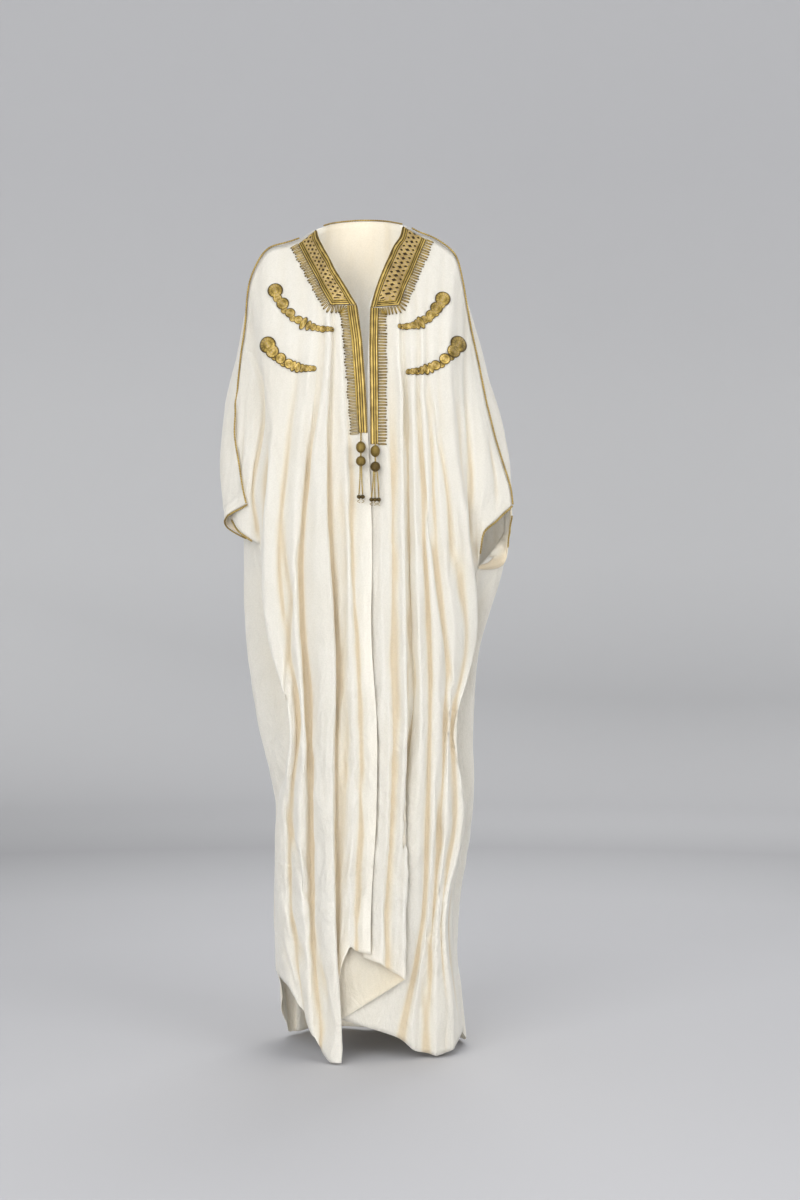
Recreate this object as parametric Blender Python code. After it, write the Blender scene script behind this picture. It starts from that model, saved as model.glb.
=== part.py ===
"""An open-fronted kaftan of cream cloth, standing hollow in its worn pose.

Three panels of cloth hang from the shoulders: one back and two fronts. Each panel is a sheet whose
columns are its fold lines and whose rows run down from the top seam to the hem. Bands, plackets,
chains of discs, cords and tassels are laid on the panels, made from the panels' own points.
Tables are in millimetres, heights are above the floor, +X is the wearer's left and -Y is the front.
"""

from collections import namedtuple

import bpy
import numpy as np
from mathutils import Vector
from mathutils.bvhtree import BVHTree

MM = 0.001
HELD_HEIGHT = 1500.0
CLOTH_WALL = 1.4
SEAM_GAP = 0.8
NECK_POINT_GAP = 1.0
CUFF_POINT_GAP = 2.4
UPPER_ROWS = 8
LOWER_ROWS = 14
BETWEEN_FOLDS = 2

CORD_RADIUS = 2.3
CORD_SIDES = 6
CORD_GAP = 0.45
CLEARANCE_STEPS = 5
HEM_CLEARANCE = 4.0
BAND_LIFT = 1.4
PLACKET_LIFT = 0.9
CUFF_CORD_GAP = 0.9
BAND_THICKNESS = 2.0

# Heights at which the fold tables give a fold line's place, and those at which they give its rise.
HEIGHTS = (1320, 1120, 940, 760, 600, 450, 250, 50)
RISE_HEIGHTS = (1320, 940, 450, 50)

# The outline of the whole garment seen from above: half widths to either side and depths.
Outline = namedtuple("Outline", "height right left front back")
OUTLINE = (
    Outline(1450, 206, 186, 72, 70),
    Outline(1320, 236, 218, 118, 98),
    Outline(1120, 270, 262, 130, 112),
    Outline(940, 250, 266, 138, 120),
    Outline(760, 226, 216, 145, 128),
    Outline(600, 202, 198, 150, 136),
    Outline(450, 174, 198, 156, 144),
    Outline(250, 174, 174, 163, 156),
    Outline(50, 162, 180, 172, 168),
)
OUTLINE_POWER = 2.6

# A fold line: its point on the top edge, its x at HEIGHTS, its rise off the outline at
# RISE_HEIGHTS (a crest is positive, a trough negative) and its height at the hem.
Fold = namedtuple("Fold", "name top x rise hem")

# A line near the side, given by its points from the top seam down to the cuff level, and from there
# to the hem. A line of the sleeve ends at the hand opening and has nothing below it.
SideLine = namedtuple("SideLine", "name upper lower")

FRONT_RIGHT_FOLDS = (
    Fold("edge", (-20, -102, 1374), (-11, 4, 11, 10, 20, 19, 9, 9), (2, 6, 6, 6), 196),
    Fold("first crest", (-28, -98, 1386), (-25, -12, 0, -3, 6, 6, -3, -7), (2, 6, 6, 5), 198),
    Fold("first trough", (-37, -91, 1401), (-38, -29, -22, -16, -9, -9, -16, -20), (0, -4, -4, -3), 200),
    Fold("second crest", (-48, -80, 1419), (-47, -40, -33, -29, -24, -25, -31, -34), (1, 3, 3, 2), 202),
    Fold("deep trough", (-60, -69, 1439), (-60, -64, -60, -53, -52, -52, -52, -54), (-5, -15, -17, -14), 120),
    Fold("lapped edge", (-67, -58, 1455), (-66, -73, -70, -60, -57, -57, -55, -42), (3, 10, 13, 16), 8),
    Fold("broad crest", (-78, -45, 1476), (-72, -88, -90, -85, -80, -80, -74, -60), (3, 10, 13, 15), 3),
    Fold(
        "long trough", (-89, -25, 1499),
        (-83, -101, -114, -112, -99, -99, -95, -80), (-3, -10, -14, -10), 22,
    ),
    Fold("arm crest", (-97, -5, 1519), (-97, -119, -130, -126, -112, -119, -112, -94), (3, 8, 9, 8), 48),
    Fold(
        "arm trough", (-125, 0, 1503),
        (-119, -141, -152, -142, -124, -135, -130, -104), (-2, -8, -7, -6), 80,
    ),
    Fold("hip crest", (-151, 0, 1494), (-146, -162, -172, -160, -131, -146, -144, -118), (2, 5, 6, 8), 105),
    Fold("outer fold", (-188, -3, 1480), (-174, -174, -186, -179, -137, -156, -156, -136), (0, 8, 8, 8), 132),
)
FRONT_RIGHT_SIDE = (
    SideLine(
        "arm line",
        ((-217, -12, 1419), (-198, -72, 1320), (-182, -100, 1120), (-192, -90, 940)),
        ((-192, -90, 940), (-190, -72, 860), (-168, -58, 760), (-134, -62, 600), (-162, -62, 450),
         (-167, -60, 250), (-164, -55, 145)),
    ),
    SideLine(
        "side seam",
        ((-225, -25, 1331), (-206, -54, 1279), (-188, -76, 1206), (-190, -80, 1148), (-206, -76, 1058),
         (-203, -74, 980), (-196, -70, 933)),
        ((-196, -70, 933), (-180, -42, 860), (-152, -22, 760), (-130, -26, 600), (-160, -22, 450),
         (-171, -16, 250), (-170, -12, 150)),
    ),
    SideLine("sleeve crest", ((-231, -32, 1289), (-208, -76, 1180), (-212, -80, 1110), (-222, -72, 949)), ()),
    SideLine("sleeve tuck", ((-235, -40, 1246), (-234, -60, 1180), (-232, -68, 1120), (-240, -58, 964)), ()),
    SideLine("sleeve edge", ((-241, -47, 1208), (-241, -46, 1160), (-242, -48, 1100), (-250, -42, 980)), ()),
)
FRONT_LEFT_FOLDS = (
    Fold("edge", (6, -102, 1371), (5, -1, -2, -3, 6, 5, -5, -5), (1, -7, -7, -6), 188),
    Fold("first crest", (25, -80, 1421), (25, 33, 36, 34, 38, 36, 27, 27), (1, 3, 4, 4), 178),
    Fold("first trough", (38, -65, 1453), (40, 47, 49, 49, 51, 47, 38, 40), (-1, -5, -6, -5), 168),
    Fold("pleat edge", (50, -42, 1482), (58, 67, 71, 72, 74, 70, 66, 68), (3, 8, 9, 6), 152),
    Fold("pleat turn", (56, -32, 1493), (62, 72, 75, 77, 78, 69, 60, 58), (-1, -3, 1, -15), 140),
    Fold("pleat inside", (61, -23, 1501), (65, 75, 78, 81, 80, 40, -44, -44), (-5, -14, -22, -24), 74),
    Fold("pleat under", (65, -14, 1514), (69, 79, 82, 86, 85, 46, -41, -41), (-4, -12, -27, -29), 72),
    Fold("second crest", (69, -5, 1527), (80, 86, 90, 96, 99, 91, 80, 30), (3, 5, 4, -32), 50),
    Fold("second trough", (82, 0, 1522), (92, 98, 104, 112, 115, 110, 101, 62), (-2, -5, -7, -37), 36),
    Fold("third crest", (95, 0, 1514), (101, 108, 114, 128, 130, 122, 112, 86), (2, 4, 5, -22), 18),
    Fold("slant trough", (112, 0, 1509), (110, 118, 126, 144, 142, 135, 121, 108), (-2, -7, -8, -26), 10),
    Fold("fourth crest", (129, 0, 1501), (122, 128, 140, 163, 150, 147, 129, 128), (1, 3, 6, -10), 5),
    Fold("short trough", (145, -2, 1490), (135, 138, 157, 182, 156, 162, 136, 146), (-1, -5, -4, -10), 8),
    Fold("outer fold", (164, -5, 1471), (153, 160, 186, 202, 163, 178, 144, 164), (0, 6, 8, 2), 14),
)
FRONT_LEFT_SIDE = (
    SideLine(
        "arm line",
        ((175, -12, 1429), (170, -72, 1320), (174, -98, 1120), (190, -94, 935)),
        ((190, -94, 935), (198, -76, 850), (188, -62, 760), (152, -62, 600), (174, -66, 450),
         (150, -62, 250), (170, -58, 24)),
    ),
    SideLine(
        "side seam",
        ((186, -22, 1364), (183, -58, 1278), (186, -82, 1169), (193, -86, 1059), (196, -84, 976),
         (204, -56, 890)),
        ((204, -56, 890), (190, -32, 820), (174, -16, 760), (152, -20, 600), (180, -22, 450), (160, -16, 250),
         (178, -12, 30)),
    ),
    SideLine("sleeve crest", ((200, -32, 1293), (205, -64, 1200), (213, -84, 1110), (211, -84, 950)), ()),
    SideLine("sleeve middle", ((213, -40, 1227), (219, -60, 1170), (228, -74, 1100), (238, -76, 977)), ()),
    SideLine(
        "sleeve edge",
        ((220, -47, 1190), (237, -55, 1121), (251, -60, 1075), (264, -62, 1032), (267, -62, 1005)),
        (),
    ),
)

# The back has a line for each line that the fronts bring to the shoulder seams, and a few between.
BACK_RIGHT_SIDE = (
    SideLine(
        "sleeve edge",
        ((-241, -47, 1208), (-245, -56, 1172), (-243, -65, 1124), (-237, -71, 1092), (-231, -77, 1062),
         (-224, -81, 1032), (-218, -82, 1007)),
        (),
    ),
    SideLine(
        "sleeve flap",
        ((-235, -40, 1246), (-261, -26, 1180), (-268, -34, 1120), (-268, -42, 1050), (-259, -52, 984)),
        (),
    ),
    SideLine(
        "sleeve side",
        ((-231, -32, 1289), (-257, -4, 1220), (-269, 8, 1120), (-268, 4, 1040), (-252, -12, 962)),
        (),
    ),
    SideLine(
        "side seam",
        ((-225, -25, 1331), (-250, 8, 1260), (-263, 36, 1180), (-264, 44, 1120), (-256, 40, 1040),
         (-232, 2, 968), (-196, -70, 933)),
        ((-196, -70, 933), (-180, -42, 860), (-152, -22, 760), (-130, -26, 600), (-160, -22, 450),
         (-171, -16, 250), (-170, -12, 150)),
    ),
    SideLine(
        "wing",
        ((-217, -12, 1419), (-234, 25, 1320), (-250, 54, 1220), (-252, 68, 1120), (-247, 62, 1040),
         (-232, 24, 940)),
        ((-232, 24, 940), (-228, 8, 860), (-224, 4, 760), (-201, 8, 600), (-171, 18, 450), (-174, 26, 250),
         (-158, 20, 70)),
    ),
    SideLine(
        "shoulder side",
        ((-188, -3, 1480), (-206, 25, 1400), (-218, 52, 1320), (-229, 78, 1220), (-228, 90, 1120),
         (-216, 80, 940)),
        ((-216, 80, 940), (-210, 62, 760), (-188, 64, 600), (-162, 74, 450), (-166, 88, 250), (-152, 86, 14)),
    ),
)
BACK_FOLDS = (
    Fold(
        "right hip crest", (-151, 0, 1494),
        (-186, -198, -192, -188, -170, -150, -150, -142), (2, 5, 7, 7), 6,
    ),
    Fold(
        "right hip trough", (-125, 0, 1503),
        (-155, -166, -168, -166, -154, -136, -134, -128), (-2, -5, -7, -7), 5,
    ),
    Fold(
        "right blade crest", (-97, -5, 1519),
        (-122, -132, -134, -130, -120, -106, -108, -104), (2, 9, 14, 15), 4,
    ),
    Fold(
        "right blade trough", (-64, 46, 1538),
        (-84, -98, -104, -106, -100, -88, -90, -88), (-1, -9, -14, -13), 6,
    ),
    Fold("spine crest", (-14, 72, 1547), (-26, -38, -50, -60, -62, -56, -52, -50), (1, 4, 8, 10), 4),
    Fold("left blade trough", (36, 50, 1542), (28, 18, 4, -6, -10, -4, 0, 2), (-1, -6, -9, -8), 5),
    Fold("left blade crest", (69, -5, 1527), (66, 62, 52, 42, 36, 40, 42, 44), (1, 6, 12, 14), 4),
    Fold("second trough", (82, 0, 1522), (86, 88, 84, 74, 68, 72, 70, 72), (-1, -7, -12, -13), 5),
    Fold("second crest", (95, 0, 1514), (104, 110, 110, 100, 94, 98, 90, 94), (1, 3, 5, 6), 4),
    Fold("third trough", (112, 0, 1509), (122, 130, 130, 118, 112, 116, 104, 110), (-1, -3, -5, -6), 5),
    Fold("third crest", (129, 0, 1501), (140, 154, 160, 146, 138, 144, 126, 134), (1, 6, 9, 10), 4),
    Fold("hip trough", (145, -2, 1490), (158, 176, 181, 161, 154, 161, 142, 151), (-1, -5, -6, -6), 5),
    Fold("hip crest", (164, -5, 1471), (176, 200, 208, 182, 172, 178, 155, 164), (1, 4, 5, 5), 4),
)
BACK_LEFT_SIDE = (
    SideLine(
        "wing",
        ((175, -12, 1429), (207, 28, 1320), (230, 52, 1220), (244, 64, 1120), (251, 54, 1040),
         (261, 16, 930)),
        ((261, 16, 930), (250, 12, 875), (230, 10, 810), (214, 6, 760), (198, 10, 600), (198, 16, 450),
         (186, 16, 350), (171, 20, 250), (181, 16, 8)),
    ),
    SideLine(
        "side seam",
        ((186, -22, 1364), (216, 4, 1278), (240, 28, 1200), (257, 36, 1120), (264, 28, 1040), (258, 2, 950),
         (204, -56, 890)),
        ((204, -56, 890), (190, -32, 820), (174, -16, 760), (152, -20, 600), (180, -22, 450), (160, -16, 250),
         (178, -12, 30)),
    ),
    SideLine(
        "sleeve side",
        ((200, -32, 1293), (232, -6, 1220), (260, 2, 1120), (268, -6, 1040), (267, -10, 960), (254, -8, 896)),
        (),
    ),
    SideLine(
        "sleeve flap",
        ((213, -40, 1227), (240, -24, 1180), (258, -28, 1120), (268, -38, 1040), (266, -36, 965)),
        (),
    ),
    SideLine(
        "sleeve edge",
        ((220, -47, 1190), (237, -55, 1121), (251, -60, 1075), (264, -62, 1032), (267, -62, 1005)),
        (),
    ),
)
BACK_LINES = BACK_RIGHT_SIDE + BACK_FOLDS + BACK_LEFT_SIDE
CUFF_LEVEL = 935
RIGHT_NECK_LINE = "arm crest"
LEFT_NECK_LINE = "second crest"

# The wide bands at the neck, seen from the front: the outer edge's ends, and the bottom's inner end.
Band = namedtuple("Band", "name outer_top outer_bottom inner_bottom")
BAND_RIGHT = Band("neck_band_right", (-129, 1494), (-66, 1367), (-20, 1367))
BAND_LEFT = Band("neck_band_left", (111, 1503), (59, 1366), (17, 1362))
BAND_ALONG = 12
BAND_ACROSS = (0.015, 0.2, 0.26, 0.74, 0.8, 1.0)
BAND_PROFILE = (1.0, 1.0, 0.6, 0.6, 1.0, 1.0)
BAND_TOP_INSET = 0.02

# The narrow plackets below them: inner edge and width at three heights.
Placket = namedtuple("Placket", "name heights inner width")
PLACKET_RIGHT = Placket("placket_right", (1366, 1300, 1220, 1132), (-17, -8, -2, 2), (18, 18, 18, 15))
PLACKET_LEFT = Placket("placket_left", (1361, 1300, 1220, 1112), (8, 7, 8, 9), (15, 15, 15, 13))
PLACKET_ALONG = 9
PLACKET_ACROSS = (0.0, 0.35, 0.65, 1.0)
PLACKET_PROFILE = (1.0, 0.7, 0.7, 1.0)

# Chains of overlapping discs: a curve from the large disc to the small end, and the discs' radii.
Chain = namedtuple("Chain", "name start turn end radii")
UPPER_RADII = (12.5, 8.5, 10, 6.5, 8.5, 6.5, 7.5, 10, 9, 8.5, 6.5, 6.5, 5.5, 5)
LOWER_RADII = (13.5, 11, 7, 9, 7, 8.5, 9, 8.5, 7, 6.5, 6, 5)
CHAINS = (
    Chain("upper_chain_right", (-167, 1391), (-137, 1321), (-63, 1321), UPPER_RADII),
    Chain("lower_chain_right", (-180, 1295), (-150, 1246), (-95, 1249), LOWER_RADII),
    Chain("upper_chain_left", (140, 1382), (112, 1322), (62, 1327), UPPER_RADII),
    Chain("lower_chain_left", (169, 1298), (140, 1244), (77, 1243), LOWER_RADII),
)
CHAIN_THICKNESS = 1.9
CHAIN_LIFT = 0.95
STATIONS_PER_DISC = 3

# A tassel: where its cord leaves the placket, its two wrapped balls, and its strands' knots.
Tassel = namedtuple("Tassel", "name x top balls strand_end strands")
Ball = namedtuple("Ball", "height half_width half_height")
TASSEL_RIGHT = Tassel(
    "tassel_right", -9, 1131, (Ball(1105, 8.8, 10.4), Ball(1080, 9.0, 9.0)), 1012, (-3.4, 3.4)
)
TASSEL_LEFT = Tassel(
    "tassel_left", 17, 1110.5, (Ball(1098, 8.8, 10.6), Ball(1070, 9.0, 9.2)), 1007, (-7.0, -0.4, 6.4)
)
TASSEL_CORD_RADIUS = 1.5
STRAND_RADIUS = 1.0
KNOT_RADIUS = 3.0
KNOT_HEIGHT = 6.5

CREAM = (0.79, 0.75, 0.66, 1.0)
GOLD = (0.55, 0.40, 0.13, 1.0)
DARK_GOLD = (0.38, 0.26, 0.09, 1.0)


def clear_scene():
    for obj in list(bpy.data.objects):
        bpy.data.objects.remove(obj, do_unlink=True)


def make_material(name, colour, roughness, metallic):
    material = bpy.data.materials.new(name)
    material.use_nodes = True
    shader = material.node_tree.nodes["Principled BSDF"]
    shader.inputs["Base Color"].default_value = colour
    shader.inputs["Roughness"].default_value = roughness
    shader.inputs["Metallic"].default_value = metallic
    return material


def unit(vectors):
    """The same vectors at length one."""
    return vectors / np.maximum(np.linalg.norm(vectors, axis=-1, keepdims=True), 1e-9)


def smooth_through(knots, values, at):
    """Cubic pieces through the values, each knot's slope being that between its two neighbours."""
    knots = np.asarray(knots, float)
    values = np.asarray(values, float)
    slopes = np.gradient(values, knots, axis=0)
    i = np.clip(np.searchsorted(knots, at) - 1, 0, len(knots) - 2)
    step = knots[i + 1] - knots[i]
    t = (np.clip(at, knots[0], knots[-1]) - knots[i]) / step
    shape = (-1,) + (1,) * (values.ndim - 1)
    t = t.reshape(shape)
    step = step.reshape(shape)
    return (
        (2 * t**3 - 3 * t**2 + 1) * values[i]
        + (t**3 - 2 * t**2 + t) * step * slopes[i]
        + (3 * t**2 - 2 * t**3) * values[i + 1]
        + (t**3 - t**2) * step * slopes[i + 1]
    )


def outline_depth(x, height, facing):
    """How far the garment's outline stands from its middle plane at this x, negative at the front."""
    heights = [row.height for row in OUTLINE][::-1]
    half = np.interp(height, heights, [row.right if x < 0 else row.left for row in OUTLINE][::-1])
    depth = np.interp(height, heights, [getattr(row, facing) for row in OUTLINE][::-1])
    inside = max(0.0, 1 - min(abs(x) / half, 1.0) ** OUTLINE_POWER)
    return depth * inside ** (1 / OUTLINE_POWER)


def fold_points(fold, facing):
    """A fold line's points, from its top down to its hem."""
    outward = -1 if facing == "front" else 1
    points = [fold.top]
    heights = [h for h in HEIGHTS if fold.hem + 15 < h < fold.top[2] - 40]
    for height in heights + [fold.hem]:
        x = float(np.interp(height, HEIGHTS[::-1], fold.x[::-1]))
        rise = float(np.interp(height, RISE_HEIGHTS[::-1], fold.rise[::-1]))
        points.append((x, outward * (outline_depth(x, height, facing) + rise), height))
    return np.array(points, float)


def down_curve(points, count):
    """Points evenly spaced in height down the smooth curve through the given ones."""
    heights = -points[:, 2]
    return smooth_through(heights, points, np.linspace(heights[0], heights[-1], count))


def fold_column(fold, facing):
    """A whole column of the grid: even steps down to the cuff level, then even steps to the hem."""
    points = fold_points(fold, facing)
    depths = np.concatenate([
        np.linspace(-fold.top[2], -CUFF_LEVEL, UPPER_ROWS + 1)[:-1],
        np.linspace(-CUFF_LEVEL, -fold.hem, LOWER_ROWS + 1),
    ])
    return smooth_through(-points[:, 2], points, depths)


def side_column(line):
    """As fold_column, from a side line's own points. A sleeve line has no rows below the cuff."""
    upper = down_curve(np.array(line.upper, float), UPPER_ROWS + 1)
    if not line.lower:
        return np.vstack([upper, np.full((LOWER_ROWS, 3), np.nan)])
    lower = down_curve(np.array(line.lower, float), LOWER_ROWS + 1)
    return np.vstack([upper, lower[1:]])


def fill_between(columns, pieces):
    """The grid with more columns, each row a smooth curve through its folds, stopping at the sleeve's end."""
    grid = np.stack(columns, axis=1)
    count = grid.shape[1]
    fine = np.full((grid.shape[0], (count - 1) * pieces + 1, 3), np.nan)
    for r, row in enumerate(grid):
        real = np.flatnonzero(np.isfinite(row[:, 0]))
        first, last = real[0], real[-1]
        at = np.linspace(first, last, (last - first) * pieces + 1)
        fine[r, first * pieces:last * pieces + 1] = smooth_through(np.arange(first, last + 1), row[real], at)
    return fine


def grid_normals(grid, facing):
    """Unit normals from the differences along rows and columns, facing the front or the back as a whole."""
    def slope(axis):
        before = np.roll(grid, 1, axis)
        after = np.roll(grid, -1, axis)
        edge_first = [slice(None)] * 3
        edge_last = [slice(None)] * 3
        edge_first[axis] = 0
        edge_last[axis] = -1
        before[tuple(edge_first)] = np.nan
        after[tuple(edge_last)] = np.nan
        back = grid - before
        ahead = after - grid
        both = np.where(np.isfinite(back), back, ahead)
        other = np.where(np.isfinite(ahead), ahead, back)
        return unit(both) + unit(other)

    normals = unit(np.cross(slope(1), slope(0)))
    forward = np.nanmean(normals[..., 1]) < 0
    return normals if forward == (facing == "front") else -normals


class Panel:
    """A sheet of cloth: its outer points, the outward direction at each, and its quads."""

    def __init__(self, name, columns, facing):
        self.name = name
        self.grid = fill_between(columns, BETWEEN_FOLDS)
        self.grid[..., 2] = np.maximum(self.grid[..., 2], HEM_CLEARANCE)
        self.normals = grid_normals(self.grid, facing)

    def quads(self):
        """Corner indices of each quad whose four corners exist."""
        rows, columns = self.grid.shape[:2]
        index = np.arange(rows * columns).reshape(rows, columns)
        corners = np.stack([index[:-1, :-1], index[:-1, 1:], index[1:, 1:], index[1:, :-1]], axis=-1)
        real = np.isfinite(self.grid[..., 0]).ravel()
        corners = corners.reshape(-1, 4)
        return corners[real[corners].all(axis=1)]

    def surface(self):
        """The outer face as a search tree."""
        used, faces = np.unique(self.quads(), return_inverse=True)
        points = self.grid.reshape(-1, 3)[used]
        faces = faces.reshape(-1, 4)
        triangles = np.vstack([faces[:, [0, 1, 2]], faces[:, [0, 2, 3]]])
        return BVHTree.FromPolygons([Vector(p) for p in points], triangles.tolist())


def solid_sheet(outer, inner, quads):
    """Vertices and faces of a closed wall between two layers of a grid, split along the same diagonals."""
    used, faces = np.unique(quads, return_inverse=True)
    faces = faces.reshape(-1, 4)
    count = len(used)
    points = np.vstack([outer.reshape(-1, 3)[used], inner.reshape(-1, 3)[used]])
    ends = np.concatenate([faces[:, [0, 1]], faces[:, [1, 2]], faces[:, [2, 3]], faces[:, [3, 0]]])
    key = np.sort(ends, axis=1)
    _, first, times = np.unique(key, axis=0, return_index=True, return_counts=True)
    rim = ends[first[times == 1]]
    walls = np.column_stack([rim[:, 1], rim[:, 0], rim[:, 0] + count, rim[:, 1] + count])
    halves = np.vstack([faces[:, [0, 1, 2]], faces[:, [0, 2, 3]]])
    return points, halves.tolist() + (halves[:, ::-1] + count).tolist() + walls.tolist()


def add_object(name, points, faces, material):
    """A mesh object from points in millimetres above the floor, with its faces turned outward."""
    place = (np.asarray(points, float) - (0, 0, HELD_HEIGHT)) * MM
    mesh = bpy.data.meshes.new(name)
    mesh.from_pydata(place.tolist(), [], faces)
    corners = place[np.vstack([[f[0], f[i], f[i + 1]] for f in faces for i in range(1, len(f) - 1)])]
    if np.einsum("ij,ij->i", corners[:, 0], np.cross(corners[:, 1], corners[:, 2])).sum() < 0:
        mesh.flip_normals()
    mesh.materials.append(material)
    mesh.shade_smooth()
    obj = bpy.data.objects.new(name, mesh)
    bpy.context.scene.collection.objects.link(obj)
    return obj


def add_panel(panel, material):
    inner = panel.grid - panel.normals * CLOTH_WALL
    points, faces = solid_sheet(panel.grid, inner, panel.quads())
    return add_object(panel.name, points, faces, material)


def sew(front, back, front_place, back_place, back_inside, extra=0.0):
    """Lays the back's edge along the front's, SEAM_GAP and any extra apart, with both walls facing alike.

    The seam's end faces as the point before it does, since the two sheets may face apart there.
    """
    seam = front.grid[front_place]
    facing = unit(front.normals[front_place] + back.normals[back_place])
    facing[-1] = facing[-2]
    along = unit(np.gradient(seam, axis=0))
    inward = back.grid[back_inside] - seam
    inward = unit(inward - (inward * along).sum(axis=1, keepdims=True) * along)
    front.normals[front_place] = facing
    back.normals[back_place] = facing
    back.grid[back_place] = seam + inward * (SEAM_GAP + np.broadcast_to(extra, len(seam))[:, None])


def place_of(rows, columns):
    """Row and column numbers as arrays of one length."""
    return tuple(np.broadcast_arrays(np.atleast_1d(rows), np.atleast_1d(columns)))


def column_of(lines, name):
    """The grid column of the named line among all of a panel's lines."""
    return [line.name for line in lines].index(name) * BETWEEN_FOLDS


def make_panels():
    """The three panels, sewn to each other at the shoulders, arms and sides."""
    right_lines = FRONT_RIGHT_FOLDS + FRONT_RIGHT_SIDE
    left_lines = FRONT_LEFT_FOLDS + FRONT_LEFT_SIDE
    back_lines = BACK_LINES

    def columns(lines, facing):
        return [fold_column(p, facing) if isinstance(p, Fold) else side_column(p) for p in lines]

    right = Panel("front_right_panel", columns(right_lines, "front"), "front")
    left = Panel("front_left_panel", columns(left_lines, "front"), "front")
    back = Panel("back_panel", columns(back_lines, "back"), "back")

    right_neck = column_of(right_lines, RIGHT_NECK_LINE)
    left_neck = column_of(left_lines, LEFT_NECK_LINE)
    back_right_neck = column_of(back_lines, "right blade crest")
    back_left_neck = column_of(back_lines, "left blade crest")
    last = back.grid.shape[1] - 1
    right_end = right.grid.shape[1]
    left_end = left.grid.shape[1]
    back_right_top = np.arange(back_right_neck, -1, -1)
    back_left_top = np.arange(back_left_neck, last + 1)
    right_top = np.arange(right_neck, right_end)
    left_top = np.arange(left_neck, left_end)
    widening_at = (right_neck, right_neck + 1, right_end - 4, right_end - 1)
    right_extra = np.interp(right_top, widening_at, (NECK_POINT_GAP, 0, 0, CUFF_POINT_GAP))
    left_extra = np.interp(left_top, (left_neck, left_neck + 1), (NECK_POINT_GAP, 0))
    right_inside = place_of(1, back_right_top + 1)
    left_inside = place_of(1, back_left_top - 1)
    sew(right, back, place_of(0, right_top), place_of(0, back_right_top), right_inside, right_extra)
    sew(left, back, place_of(0, left_top), place_of(0, back_left_top), left_inside, left_extra)
    below = np.arange(UPPER_ROWS, UPPER_ROWS + LOWER_ROWS + 1)
    right_side = column_of(right_lines, "side seam")
    left_side = column_of(left_lines, "side seam")
    back_right_side = column_of(back_lines, "side seam")
    back_left_side = last - (left_end - 1 - left_side)
    for front, front_side, back_side, inside in (
        (right, right_side, back_right_side, back_right_side + 1),
        (left, left_side, back_left_side, back_left_side - 1),
    ):
        sew(front, back, place_of(below, front_side), place_of(below, back_side), place_of(below, inside))
    sleeve = np.arange(1, UPPER_ROWS + 1)
    sew(left, back, place_of(sleeve, left_end - 1), place_of(sleeve, last), place_of(sleeve, last - 1))
    return right, left, back


def on_cloth(tree, x, height):
    """The point of a front panel's face straight behind this place as seen from the front."""
    hit = tree.ray_cast(Vector((x, -1000, height)), Vector((0, 1, 0)))[0]
    if hit is None:
        hit = tree.find_nearest(Vector((x, -120, height)))[0]
    return tuple(hit)


def clear_of_cloth(tree, places):
    """Points over the given places, far enough forward that the faces between them clear the cloth."""
    base = np.array([[on_cloth(tree, x, height) for x, height in row] for row in places])
    ahead = np.zeros(base.shape[:2])
    steps = np.linspace(0, 1, CLEARANCE_STEPS)
    for r in range(base.shape[0] - 1):
        for c in range(base.shape[1] - 1):
            corners = base[r:r + 2, c:c + 2]
            need = 0.0
            for u in steps:
                side = (1 - u) * corners[0] + u * corners[1]
                for v in steps:
                    x, y, height = (1 - v) * side[0] + v * side[1]
                    need = max(need, y - on_cloth(tree, x, height)[1])
            ahead[r:r + 2, c:c + 2] = np.maximum(ahead[r:r + 2, c:c + 2], need)
    base[..., 1] -= ahead
    return base


def lay_sheet(name, tree, places, profile, material, lift, thickness):
    """A flat piece on the cloth, from a grid of (x, height) places, its thickness shared by a profile."""
    base = clear_of_cloth(tree, np.asarray(places, float))
    normals = grid_normals(base, "front")
    lower = base + normals * lift
    upper = lower + normals * thickness * np.asarray(profile)[None, :, None]
    rows, columns = base.shape[:2]
    index = np.arange(rows * columns).reshape(rows, columns)
    quads = np.stack([index[:-1, :-1], index[:-1, 1:], index[1:, 1:], index[1:, :-1]], axis=-1).reshape(-1, 4)
    points, faces = solid_sheet(upper, lower, quads)
    return add_object(name, points, faces, material)


def make_band(band, panel, tree, neck_column, material):
    """The wide band at one side of the neck, between the panel's neck edge and its own outer edge."""
    edge = panel.grid[0, :neck_column + 1][::-1][:, [0, 2]]
    run = np.concatenate([[0], np.cumsum(np.linalg.norm(np.diff(edge, axis=0), axis=1))])
    along = np.linspace(BAND_TOP_INSET, 1, BAND_ALONG + 1)
    neck = smooth_through(run / run[-1], edge, along)
    outer = np.outer(1 - along, band.outer_top) + np.outer(along, band.outer_bottom)
    inner_end = np.array(band.inner_bottom, float)
    neck += (inner_end - edge[-1]) * along[:, None] ** 6
    places = neck[:, None, :] + (outer - neck)[:, None, :] * np.array(BAND_ACROSS)[None, :, None]
    return lay_sheet(band.name, tree, places, BAND_PROFILE, material, BAND_LIFT, BAND_THICKNESS)


def make_placket(placket, tree, side, material):
    """The narrow strip along one edge of the slit."""
    heights = np.linspace(placket.heights[0], placket.heights[-1], PLACKET_ALONG + 1)
    inner = np.interp(heights, placket.heights[::-1], placket.inner[::-1])
    width = np.interp(heights, placket.heights[::-1], placket.width[::-1])
    across = np.array(PLACKET_ACROSS)
    x = inner[:, None] + side * across[None, :] * width[:, None]
    places = np.stack([x, np.broadcast_to(heights[:, None], x.shape)], axis=-1)
    return lay_sheet(placket.name, tree, places, PLACKET_PROFILE, material, PLACKET_LIFT, BAND_THICKNESS)


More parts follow.
